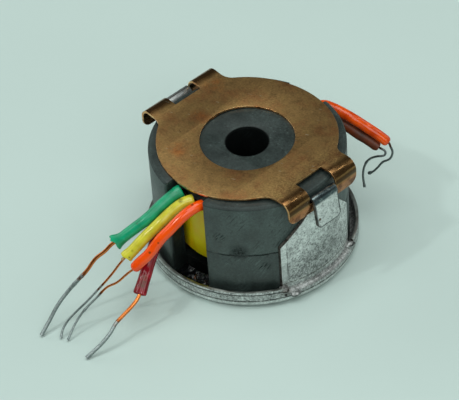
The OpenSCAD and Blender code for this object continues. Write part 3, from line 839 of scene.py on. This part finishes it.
def extruded_sleeve(name, colour, deep, roughness, spots=()):
    """Extruded PVC sleeve: glossy and unevenly coloured, with dirt."""
    material, tree, bsdf, place = surface(f"pvc_sleeve_{name}", Roughness=roughness)
    cloud = put(tree, "TexNoise", place, 1 / (1.8 * MM), 4.0, 0.6)
    base = put(
        tree, "Mix", put(tree, "MapRange", cloud, 0.35, 0.65), tint(colour), tint(deep),
        data_type="RGBA",
    )
    dirt = put(
        tree, "MapRange", put(tree, "TexNoise", place, 1 / (0.5 * MM), 3.0, 0.65), 0.31, 0.25, 0.0,
        0.45,
    )
    for point, reach in spots:
        grain = put(
            tree, "MapRange", put(tree, "TexNoise", place, 1 / (0.3 * MM), 3.0), 0.35, 0.6, 0.2, 0.9,
        )
        spot = put(tree, "Math", near(tree, place, point, reach), grain, operation="MULTIPLY")
        dirt = put(tree, "Math", dirt, spot, operation="MAXIMUM")
    base = put(tree, "Mix", dirt, base, tint("#4A3810"), data_type="RGBA")
    tree.links.new(base, bsdf.inputs["Base Color"])
    tree.links.new(put(tree, "Bump", 1.0, 0.01 * MM, 0.1, cloud), bsdf.inputs["Normal"])
    return material


def flux_drop():
    """Dried rosin flux: clear and amber."""
    material, tree, bsdf, place = surface("rosin_flux_dried", Roughness=0.08, IOR=1.5,
                                          Transmission_Weight=0.6)
    cloud = put(tree, "TexNoise", place, 1 / (0.4 * MM), 3.0)
    base = put(tree, "Mix", cloud, tint("#E8D890"), tint("#C09030"), data_type="RGBA")
    tree.links.new(base, bsdf.inputs["Base Color"])
    return material


def tinned_copper(name, tinned_from, copper="#DC8044", solder=("#7C8686", "#A0A8A6")):
    """Solid copper wire: orange first, then grey solder from a ragged line onwards."""
    material, tree, bsdf, place = surface(f"copper_lead_tinned_{name}", Metallic=1.0)
    run = put(tree, "Attribute", attribute_name="run", out="Fac")
    ragged = put(tree, "TexNoise", place, 1 / (1.4 * MM), 3.0)
    fine = put(tree, "TexNoise", place, 1 / (0.25 * MM), 3.0)
    start = put(tree, "Math", run, put(tree, "MapRange", ragged, 0.3, 0.7, -0.6, 0.6), operation="ADD")
    tin_cover = put(tree, "MapRange", start, tinned_from - 0.25, tinned_from + 0.25)
    red = put(
        tree, "Mix", put(tree, "MapRange", ragged, 0.5, 0.75), tint(copper), tint("#B06030"),
        data_type="RGBA",
    )
    browned = put(tree, "MapRange", start, tinned_from - 1.4, tinned_from - 0.1, 0.0, 0.8)
    red = put(tree, "Mix", browned, red, tint("#5A3420"), data_type="RGBA")
    grey = put(
        tree, "Mix", put(tree, "MapRange", fine, 0.3, 0.7), tint(solder[0]), tint(solder[1]),
        data_type="RGBA",
    )
    # Painted shade where it comes off the winding, down in the slot
    _, _, _, reach = axes(tree, place)
    red = put(
        tree, "Mix", put(tree, "MapRange", reach, 11.6 * MM, 11.2 * MM), red, tint("#2A160C"),
        data_type="RGBA",
    )
    tree.links.new(put(tree, "Mix", tin_cover, red, grey, data_type="RGBA"), bsdf.inputs["Base Color"])
    tree.links.new(put(tree, "MapRange", tin_cover, 0.0, 1.0, 0.2, 0.42), bsdf.inputs["Roughness"])
    relief = put(tree, "Math", fine, tin_cover, operation="MULTIPLY")
    tree.links.new(put(tree, "Bump", 1.0, 0.003 * MM, 0.1, relief), bsdf.inputs["Normal"])
    return material


def matt_floor(colour):
    """Plain matt board under the part."""
    material, tree, bsdf, place = surface("board_matt", Roughness=0.9)
    cloud = put(tree, "TexNoise", place, 1 / (30.0 * MM), 2.0)
    base = put(
        tree, "VectorMath", tuple(colour), put(tree, "MapRange", cloud, 0.3, 0.7, 0.99, 1.01),
        operation="SCALE",
    )
    tree.links.new(base, bsdf.inputs["Base Color"])
    return material


# ---- Leads and sleeves; sizes in millimetres ----

# Points of each lead's route in the coil and in the sleeve; those that follow are bare
COVERED_POINTS = {
    "green": (4, 10), "yellow": (3, 10), "orange": (3, 10), "red": (3, 10), "rear_upper": (3, 9),
    "rear_lower": (2, 8),
}
# A lead's CAD solid is a tube of this many sides, with a ring at each point of its route
LEAD_SIDES = 8
SLEEVE_RADIUS = {
    "green": 0.75, "yellow": 0.75, "orange": 0.7, "red": 0.7, "rear_upper": 0.7,
    "rear_lower": 0.75,
}
WIRE_RADIUS = {
    "green": 0.25, "yellow": 0.15, "orange": 0.15, "red": 0.25, "rear_upper": 0.15,
    "rear_lower": 0.15,
}
# Subdivision draws a tube of this many sides in, so it is modelled thicker by this factor
SLEEVE_SIDES = 16
SLEEVE_GROWTH = 1.026
# Turn of each sleeve about its own line, in degrees, so that its +Y side is the one in view
SLEEVE_TURN = {
    "green": -42, "yellow": -45, "orange": -42, "red": -49, "rear_upper": 35, "rear_lower": 38,
}
# Solder starts to cover each lead at this one of its bare points, counted from 0
TINNED_POINT = {
    "green": 3, "yellow": 2, "orange": 3, "red": 3, "rear_upper": 0, "rear_lower": 0,
}


def lead_route(name):
    """Points of a lead's route, from the coil to the tip: the middles of its CAD tube's rings."""
    mesh = bmesh.new()
    mesh.from_mesh(frame["nodes"][f"lead_{name}"].data)
    bmesh.ops.remove_doubles(mesh, verts=mesh.verts, dist=1e-6)
    # The tip is each lead's lowest point, and the rest of its ring lies nearest to it
    tip = min(mesh.verts, key=lambda v: v.co.z)
    ring = sorted(mesh.verts, key=lambda v: (v.co - tip.co).length)[:LEAD_SIDES]
    seen = set()
    route = []
    while ring:
        if len(ring) != LEAD_SIDES:
            raise RuntimeError(f"lead_{name} isn't a tube of {LEAD_SIDES} sides")
        middle = sum((v.co for v in ring), Vector()) / LEAD_SIDES / MM
        route.append(Vector([round(c, 2) for c in middle]))
        seen.update(v.index for v in ring)
        around = {edge.other_vert(v) for v in ring for edge in v.link_edges}
        ring = sorted((v for v in around if v.index not in seen), key=lambda v: v.index)
    mesh.free()
    return route[::-1]


def smooth_curve(name, points):
    """A smooth curve through points given in millimetres."""
    data = bpy.data.curves.new(name, "CURVE")
    data.dimensions = "3D"
    data.resolution_u = 16
    spline = data.splines.new("BEZIER")
    spline.bezier_points.add(len(points) - 1)
    for knot, point in zip(spline.bezier_points, points):
        knot.co = point * MM
        knot.handle_left_type = knot.handle_right_type = "AUTO"
    curve = bpy.data.objects.new(name, data)
    bpy.context.scene.collection.objects.link(curve)
    return curve


def straight_tube(length, radius, sides, rings):
    """An open round tube from the origin up +Z, cut into rings; sizes in millimetres."""
    bpy.ops.mesh.primitive_cylinder_add(
        vertices=sides, radius=radius * MM, depth=length * MM, end_fill_type="NOTHING",
        location=(0, 0, length * MM / 2),
    )
    tube = bpy.context.object
    settle(tube)
    bpy.ops.object.mode_set(mode="EDIT")
    mesh = bmesh.from_edit_mesh(tube.data)
    for edge in mesh.edges:
        low, high = sorted(v.co.z for v in edge.verts)
        edge.select_set(high - low > length * MM / 2)
    bmesh.update_edit_mesh(tube.data)
    bpy.ops.mesh.subdivide(number_cuts=rings - 1)
    bpy.ops.object.mode_set(mode="OBJECT")
    return tube


def bent_along(tube, curve):
    """Bend a straight tube along a curve."""
    modified(tube, "CURVE", object=curve, deform_axis="POS_Z")
    bpy.data.objects.remove(curve)


def turned(tube, degrees):
    """Turn a straight tube about its own line."""
    tube.rotation_euler.z = math.radians(degrees)
    settle(tube)


# ---- Operators ----


class TRANSFORMER_OT_core(bpy.types.Operator):
    """Round and chip the ferrite halves' edges and give them their ground finish"""

    bl_idname = "transformer.core"
    bl_label = "Ferrite core"

    def execute(self, context):
        ferrite = ground_ferrite(context.scene.transformer_colours.ferrite)
        for node in ("core_lower", "core_upper"):
            half = merged_copy(node)
            modified(half, "BEVEL", width=context.scene.transformer_sizes.core_edge,
                     segments=2, limit_method="ANGLE", angle_limit=math.radians(40))
            chips = self.chips()
            modified(half, "BOOLEAN", object=chips, operation="DIFFERENCE", solver="EXACT")
            bpy.data.objects.remove(chips)
            half.data.materials.append(ferrite)
            finished(half, f"{node}_ground", [node])
        return {"FINISHED"}

    def chips(self):
        """Shallow flakes broken out along the joint of the halves: angle, height over it, width."""
        flakes = []
        for angle, rise, width in (
            (-54, 0.1, 0.7), (-49, -0.09, 1.1), (-45.5, 0.05, 0.6), (-42, -0.12, 0.9),
            (-30, 0.05, 0.4), (-68, -0.05, 0.5), (28, 0.05, 0.8), (72, -0.05, 0.6),
            (118, 0.05, 1.0), (165, -0.05, 0.7), (-122, 0.05, 0.8), (-150, -0.05, 0.5),
        ):
            way = Vector((math.cos(math.radians(angle)), math.sin(math.radians(angle)), 0))
            flake = lump((0, 0, 0), (0.22, width, 0.34), 0.3)
            flake.rotation_euler.z = math.radians(angle)
            flake.location = (way * (CORE_RADIUS + 0.01) + Vector((0, 0, JOINT_Z + rise))) * MM
            settle(flake)
            flakes.append(flake)
        return joined(flakes[0], flakes[1:])


class TRANSFORMER_OT_clip(bpy.types.Operator):
    """Round the clip's stamped edges and tarnish its bronze"""

    bl_idname = "transformer.clip"
    bl_label = "Spring clip"

    def execute(self, context):
        clip = merged_copy("spring_clip")
        clip.data.materials.append(tarnished_bronze(context.scene.transformer_colours.bronze))
        clip.data.materials.append(cut_bronze())
        low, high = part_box("spring_clip")
        lug_x = (high.x - low.x) / 2 - 1.35 * MM
        middle_x = (high.x + low.x) / 2
        for face in clip.data.polygons:
            if abs(face.center.x - middle_x) > lug_x:
                foot = face.center.z < low.z + 1.2 * MM and face.normal.z < -0.3
                cut = abs(face.normal.y) > 0.5 or foot
            else:
                cut = abs(face.normal.z) < 0.4
            face.material_index = int(cut)
        modified(clip, "BEVEL", width=context.scene.transformer_sizes.clip_edge,
                 segments=3, limit_method="ANGLE", angle_limit=math.radians(40), material=1)
        finished(clip, "spring_clip_bronze", ["spring_clip"], 30)
        return {"FINISHED"}


class TRANSFORMER_OT_tray(bpy.types.Operator):
    """Round the tray's sheared edges, add its solder lumps and give it its dull tin"""

    bl_idname = "transformer.tray"
    bl_label = "Tray"

    def execute(self, context):
        tray = merged_copy("tray")
        tin = tinned_steel(context.scene.transformer_colours.tin)
        for material in (tin, sheared_steel(), rubbed_tin()):
            tray.data.materials.append(material)
        for face in tray.data.polygons:
            place, way = face.center / MM, face.normal
            rim_top = way.z > 0.9 and abs(place.z - RIM_TOP) < 0.1
            ear_side = abs(way.x) < 0.05 and abs(place.x) > 11 and (
                place.z > 2.3 or abs(place.y) > 5.5 and abs(way.y) > 0.9)
            leaf_tip = way.z < -0.9 and place.z > 9
            face.material_index = 2 if rim_top else int(ear_side or leaf_tip)
        modified(tray, "BEVEL", width=context.scene.transformer_sizes.sheet_edge,
                 segments=2, limit_method="ANGLE", angle_limit=math.radians(40))
        # Lumps of tin in the corners where the ears leave the rim
        lumps = []
        for place, scale in (
            ((12.1, -5.95, 2.35), (1.5, 1.4, 0.9)), ((12.75, -4.6, 1.5), (1.6, 1.9, 0.9)),
            ((12.35, 5.8, 2.3), (1.1, 1.5, 0.8)), ((-12.4, 5.9, 2.3), (1.0, 1.1, 0.8)),
        ):
            drop = lump(place, scale)
            drop.data.materials.append(tin)
            lumps.append(drop)
        joined(tray, lumps)
        finished(tray, "tray_tinned", ["tray"], 30)
        return {"FINISHED"}


class TRANSFORMER_OT_coil(bpy.types.Operator):
    """Finish the bobbin, the windings and their tapes"""

    bl_idname = "transformer.coil"
    bl_label = "Bobbin and windings"

    def execute(self, context):
        bobbin = merged_copy("bobbin")
        bobbin.data.materials.append(moulded_resin())
        modified(bobbin, "BEVEL", width=context.scene.transformer_sizes.core_edge,
                 segments=2, limit_method="ANGLE", angle_limit=math.radians(40))
        finished(bobbin, "bobbin_moulded", ["bobbin"])
        copper = wound_copper()
        tape = polyester_tape(context.scene.transformer_colours.tape)
        for node, material in (
            ("winding_primary", copper), ("winding_secondary", copper),
            ("winding_auxiliary", copper), ("tape_primary", tape), ("tape_secondary", tape),
        ):
            frame["nodes"][node].data.materials.clear()
            frame["nodes"][node].data.materials.append(material)
        wrap = self.wrap()
        wrap.data.materials.append(tape)
        finished(wrap, "tape_outer_wrapped", ["tape_outer"], 50)
        return {"FINISHED"}

    def wrap(self):
        """Layers of tape on the winding, and over them the last turn with its slanted end."""
        low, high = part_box("tape_outer")
        radius, height = high.x / MM, (high.z - low.z) / MM
        under = straight_tube(height, radius - 0.07, 160, 16)
        over = under.copy()
        over.data = under.data.copy()
        bpy.context.scene.collection.objects.link(over)
        modified(under, "SOLIDIFY", thickness=0.23 * MM, offset=-1)
        # The last turn ends in view, in a line that slants away at the foot
        pick(over, lambda p: p.y < 0 and -6 < p.x < -0.45)
        bpy.ops.mesh.delete(type="VERT")
        bpy.ops.object.mode_set(mode="OBJECT")
        pull(over, lambda p: p.y < 0 and -0.5 < p.x < 0 and p.z < 1.7, (0.6, 0, 0), 0.9)
        pull(over, lambda p: p.y < 0 and -0.5 < p.x < 0.05, (0, -0.035, 0), 0.5)
        modified(over, "SOLIDIFY", thickness=0.06 * MM, offset=1)
        wrap = joined(under, [over])
        wrap.location.z = low.z
        settle(wrap)
        return wrap


class TRANSFORMER_OT_wax(bpy.types.Operator):
    """Wrinkle the hardened wax in the front slot"""

    bl_idname = "transformer.wax"
    bl_label = "Wax residue"

    def execute(self, context):
        wax = merged_copy("wax_residue")
        modified(wax, "REMESH", mode="VOXEL", voxel_size=0.09 * MM)
        top = wax.vertex_groups.new(name="top")
        top.add([v.index for v in wax.data.vertices if v.normal.z > 0.5], 1.0, "REPLACE")
        modified(wax, "SMOOTH", iterations=4)
        modified(wax, "DISPLACE", texture=clouds("wrinkles", 1.1), strength=0.5 * MM,
                 mid_level=0.62, direction="Z", vertex_group="top", texture_coords="LOCAL")
        modified(wax, "SMOOTH", iterations=6)
        wax.data.materials.append(black_wax())
        finished(wax, "wax_residue_wrinkled", ["wax_residue"], 180)
        return {"FINISHED"}


class TRANSFORMER_OT_sleeves(bpy.types.Operator):
    """Model the insulating sleeves, each with the end that it was cut to"""

    bl_idname = "transformer.sleeves"
    bl_label = "Sleeves"

    looks = {
        "green": ("#0EA878", "#08845A", 0.3),
        "yellow": ("#D8D03C", "#BEB026", 0.18),
        "orange": ("#FF5606", "#F04804", 0.15),
        "red": ("#A20820", "#740412", 0.2),
        "rear_upper": ("#F45A0C", "#C03A06", 0.16),
        "rear_lower": ("#6E2E0C", "#3C1A08", 0.48),
    }
    spots = {
        "yellow": (((1.0, -12.6, 15.3), 0.45), ((-0.5, -19.9, 10.7), 0.2),
                   ((-0.8, -20.2, 10.2), 0.22), ((-0.5, -20.5, 10.0), 0.18)),
        "orange": (((2.9, -12.3, 15.6), 0.28), ((1.6, -18.8, 11.0), 0.24),
                   ((2.0, -17.6, 12.1), 0.18)),
        "red": (((1.4, -19.8, 7.3), 0.5), ((1.55, -20.2, 7.0), 0.55),
                ((1.7, -20.6, 6.7), 0.5)),
    }

    def execute(self, context):
        wall = context.scene.transformer_sizes.sleeve_wall
        for name, (in_coil, in_sleeve) in COVERED_POINTS.items():
            points = lead_route(name)[in_coil : in_coil + in_sleeve]
            curve = smooth_curve(name, points)
            length = curve.data.splines[0].calc_length() / MM
            tube = straight_tube(length, SLEEVE_RADIUS[name] * SLEEVE_GROWTH, SLEEVE_SIDES, 26)
            getattr(self, name)(tube, length)
            modified(tube, "SOLIDIFY", thickness=wall, offset=-1)
            modified(tube, "SUBSURF", levels=2)
            turned(tube, SLEEVE_TURN[name])
            bent_along(tube, curve)
            tube.data.materials.append(
                extruded_sleeve(name, *self.looks[name], self.spots.get(name, ())))
            if name == "yellow":
                drop = lump(points[-1] + Vector((0.0, -0.35, 0.1)), (0.45, 0.5, 0.4))
                drop.data.materials.append(flux_drop())
                joined(tube, [drop])
            finished(tube, f"sleeve_{name}_cut", [f"sleeve_{name}"], 180)
        return {"FINISHED"}

    def green(self, tube, end):
        """Pressed under the clip at one end; torn open and flared at the other."""
        squeeze(tube, lambda p: p.z < 0.01, (0, 0, 0), (1.25, 0.9, 1), 1.6)
        squeeze(tube, lambda p: p.z > end - 0.01, (0, 0, end), (1.5, 0.85, 1), 1.7)
        pull(tube, lambda p: p.z > end - 0.01 and p.x > 0.25, (0, 0, -0.55), 0.8)
        pull(tube, lambda p: p.z > end - 0.3 and abs(p.x) < 0.35 and p.y > 0, (0, -0.1, -0.5), 0.5)
        pull(tube, lambda p: p.z > end - 0.5 and p.x < -0.6 and p.y > 0, (0, 0, -0.25), 0.4)
        self.ragged(tube, end, 0.1, 3)

    def yellow(self, tube, end):
        """Cut on a slant and opened a little."""
        squeeze(tube, lambda p: p.z > end - 0.01, (0, 0, end), (1.14, 1.05, 1), 1.2)
        pull(tube, lambda p: p.z > end - 0.01 and p.x > 0.1, (0, 0, -0.3), 0.7)
        self.ragged(tube, end, 0.05, 5)

    def orange(self, tube, end):
        """Melted round at the end, down to the wire."""
        squeeze(tube, lambda p: p.z > end - 0.01, (0, 0, end), (0.5, 0.5, 1))
        self.cut_ring(tube, end)
        squeeze(tube, lambda p: end - 0.3 < p.z < end - 0.01, (0, 0, end), (1.18, 1.18, 1))

    def red(self, tube, end):
        """Pressed flat from its middle on, with a groove along the flat."""
        for part in range(4):
            z = end * (0.45 + 0.18 * part)
            squeeze(tube, lambda p: abs(p.z - z) < 0.3, (0, 0, z), (1.09, 0.96, 1), end * 0.3)
        squeeze(tube, lambda p: p.z > end - 0.01, (0, 0, end), (1.12, 0.9, 1), 2.0)
        pull(tube, lambda p: p.z > end - 3.4 and abs(p.x) < 0.2 and p.y > 0, (0, -0.28, 0), 0.45)
        for x, y, z in ((0.75, 0.25, 0.1), (-0.3, 0.45, 0.2), (-0.2, 0.5, 2.6)):
            pull(tube, lambda p: abs(p.x - x) < 0.3 and p.y > 0.1 and abs(p.z - end + z) < 0.3,
                 (0, 0.12, 0), 0.5)
        self.ragged(tube, end, 0.06, 7)

    def rear_upper(self, tube, end):
        """Melted round at the end."""
        self.orange(tube, end)

    def rear_lower(self, tube, end):
        """Torn off."""
        pull(tube, lambda p: p.z > end - 0.01 and p.y < 0.2, (0, 0, -0.4), 0.6)
        self.ragged(tube, end, 0.12, 11)

    def ragged(self, tube, end, offset, seed):
        """Make the cut at the far end uneven."""
        pick(tube, lambda p: p.z > end - 0.35)
        bpy.ops.transform.vertex_random(offset=offset * MM, seed=seed)
        bpy.ops.object.mode_set(mode="OBJECT")

    def cut_ring(self, tube, end):
        """One more ring close to the far end."""
        pick(tube, lambda p: p.z > end - 0.6)
        bpy.ops.mesh.subdivide(number_cuts=1)
        bpy.ops.object.mode_set(mode="OBJECT")


class TRANSFORMER_OT_leads(bpy.types.Operator):
    """Model the copper leads, tinned towards their tips"""

    bl_idname = "transformer.leads"
    bl_label = "Leads"

    # Lumps of solder on the tinned ends: how far back from the tip, and how much thicker
    lumps = {
        "green": ((7.9, 1.15), (9.4, 1.15)), "orange": ((4.6, 1.4), (7.5, 1.2)),
        "rear_upper": ((0.25, 1.7),), "rear_lower": ((0.2, 1.3), (3.6, 1.25)),
    }

    def execute(self, context):
        for name, covered in COVERED_POINTS.items():
            points = lead_route(name)
            curve = smooth_curve(name, points)
            length = curve.data.splines[0].calc_length() / MM
            chords = [(b - a).length for a, b in zip(points, points[1:])]
            before = sum(chords[: sum(covered) + TINNED_POINT[name]])
            tinned_from = before * length / sum(chords)
            wire = straight_tube(length, WIRE_RADIUS[name], 14, 150)
            for back, swell in self.lumps.get(name, ()):
                z = length - back
                squeeze(wire, lambda p: abs(p.z - z) < 0.15, (0, 0, z), (swell, swell, 1), 0.45)
            runs = [vertex.co.z / MM for vertex in wire.data.vertices]
            tinned = wire.vertex_groups.new(name="tinned")
            for index, run in enumerate(runs):
                tinned.add([index], min(1, max(0, run - tinned_from)), "REPLACE")
            attribute = wire.data.attributes.new("run", "FLOAT", "POINT")
            attribute.data.foreach_set("value", runs)
            modified(wire, "DISPLACE", texture=clouds("solder", 0.5), vertex_group="tinned",
                     strength=context.scene.transformer_sizes.tin_coat, mid_level=0.5,
                     texture_coords="LOCAL")
            for side in (lambda p: p.z < 0.01, lambda p: p.z > length - 0.01):
                pick(wire, side)
                bpy.ops.mesh.edge_face_add()
                bpy.ops.object.mode_set(mode="OBJECT")
            bent_along(wire, curve)
            if name.startswith("rear"):
                finish = tinned_copper(name, tinned_from, "#6E5040", ("#5A6262", "#848C8A"))
            else:
                finish = tinned_copper(name, tinned_from)
            wire.data.materials.append(finish)
            finished(wire, f"lead_{name}_tinned", [f"lead_{name}"], 60)
        return {"FINISHED"}


class TRANSFORMER_OT_stage(bpy.types.Operator):
    """Set the floor, the lights and the camera"""

    bl_idname = "transformer.stage"
    bl_label = "Floor, lights and camera"

    def execute(self, context):
        self.floor(context)
        self.light(context)
        self.camera(context)
        context.scene.view_settings.view_transform = "Standard"
        return {"FINISHED"}

    def floor(self, context):
        """A square board, two metres wide, that the part stands on."""
        for obj in context.view_layer.objects:
            obj.select_set(False)
        bpy.ops.mesh.primitive_plane_add(size=2.0)
        floor = context.object
        floor.name = "floor"
        floor.data.materials.append(matt_floor(context.scene.transformer_colours.floor))

    def light(self, context):
        """A soft room and eight square lamps, each turned to the part's origin."""
        world = bpy.data.worlds.new("soft_room")
        context.scene.world = world
        world.use_nodes = True
        background = world.node_tree.nodes["Background"]
        background.inputs["Color"].default_value = (0.9, 1.0, 0.97, 1.0)
        background.inputs["Strength"].default_value = 0.09
        # Each lamp: its direction from the part, its distance, its width and its power
        for name, way, distance, size, power in (
            ("overhead", (0.0, 0.0, 1.0), 0.7, 0.45, 2.1),
            ("right_front", (0.557, -0.321, 0.766), 0.7, 0.4, 1.35),
            ("right", (0.892, -0.157, 0.423), 0.7, 0.4, 0.4),
            ("left", (-0.875, -0.235, 0.423), 0.7, 0.45, 0.95),
            ("back", (0.235, 0.875, 0.423), 0.7, 0.45, 0.65),
            ("front", (-0.17, -0.61, 0.78), 0.7, 0.3, 0.45),
            ("spark", (-0.17, -0.61, 0.78), 0.6, 0.03, 0.4),
            ("right_back", (0.312, 0.474, 0.825), 0.7, 0.07, 0.12),
        ):
            lamp = bpy.data.lights.new(name, "AREA")
            lamp.size = size
            lamp.energy = power
            lamp.color = (0.93, 1.0, 0.98)
            obj = bpy.data.objects.new(name, lamp)
            obj.location = Vector(way).normalized() * distance
            obj.rotation_euler = leaning(way)
            context.scene.collection.objects.link(obj)

    def camera(self, context):
        """A long lens that looks down on the part from the front and the right."""
        azimuth, elevation, roll = (math.radians(a) for a in (49.66, 42.98, -4.31))
        aim = Vector((-0.87, -2.94, 7.67)) * MM
        turn = (
            Matrix.Rotation(azimuth, 4, "Z")
            @ Matrix.Rotation(math.pi / 2 - elevation, 4, "X")
            @ Matrix.Rotation(roll, 4, "Z")
        )
        lens = bpy.data.cameras.new("camera")
        lens.lens = 212.7
        camera = bpy.data.objects.new("camera", lens)
        camera.matrix_world = Matrix.Translation(aim) @ turn @ Matrix.Translation(
            (0, 0, 351.9 * MM)
        )
        context.scene.collection.objects.link(camera)
        context.scene.camera = camera


class TRANSFORMER_PT_panel(bpy.types.Panel):
    """Lists the steps that finish the transformer"""

    bl_idname = "TRANSFORMER_PT_panel"
    bl_label = "Transformer"
    bl_space_type = "VIEW_3D"
    bl_region_type = "UI"
    bl_category = "Transformer"

    def draw(self, context):
        for group in (context.scene.transformer_sizes, context.scene.transformer_colours):
            for name in group.bl_rna.properties.keys():
                if name not in ("rna_type", "name"):
                    self.layout.prop(group, name)
        for step in STEPS:
            self.layout.operator(step.bl_idname)


STEPS = (
    TRANSFORMER_OT_stage, TRANSFORMER_OT_core, TRANSFORMER_OT_coil, TRANSFORMER_OT_tray,
    TRANSFORMER_OT_clip, TRANSFORMER_OT_wax, TRANSFORMER_OT_sleeves, TRANSFORMER_OT_leads,
)
CLASSES = (TransformerSizes, TransformerColours, *STEPS, TRANSFORMER_PT_panel)


def register():
    """Register the classes and hang the settings on the scene."""
    for cls in CLASSES:
        bpy.utils.register_class(cls)
    bpy.types.Scene.transformer_sizes = bpy.props.PointerProperty(type=TransformerSizes)
    bpy.types.Scene.transformer_colours = bpy.props.PointerProperty(type=TransformerColours)


def unregister():
    """Take the settings and the classes away again."""
    del bpy.types.Scene.transformer_sizes
    del bpy.types.Scene.transformer_colours
    for cls in reversed(CLASSES):
        bpy.utils.unregister_class(cls)


def main():
    """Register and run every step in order."""
    register()
    bpy.ops.transformer.stage()
    bpy.ops.transformer.core()
    bpy.ops.transformer.coil()
    bpy.ops.transformer.tray()
    bpy.ops.transformer.clip()
    bpy.ops.transformer.wax()
    bpy.ops.transformer.sleeves()
    bpy.ops.transformer.leads()


if __name__ == "__main__":
    main()
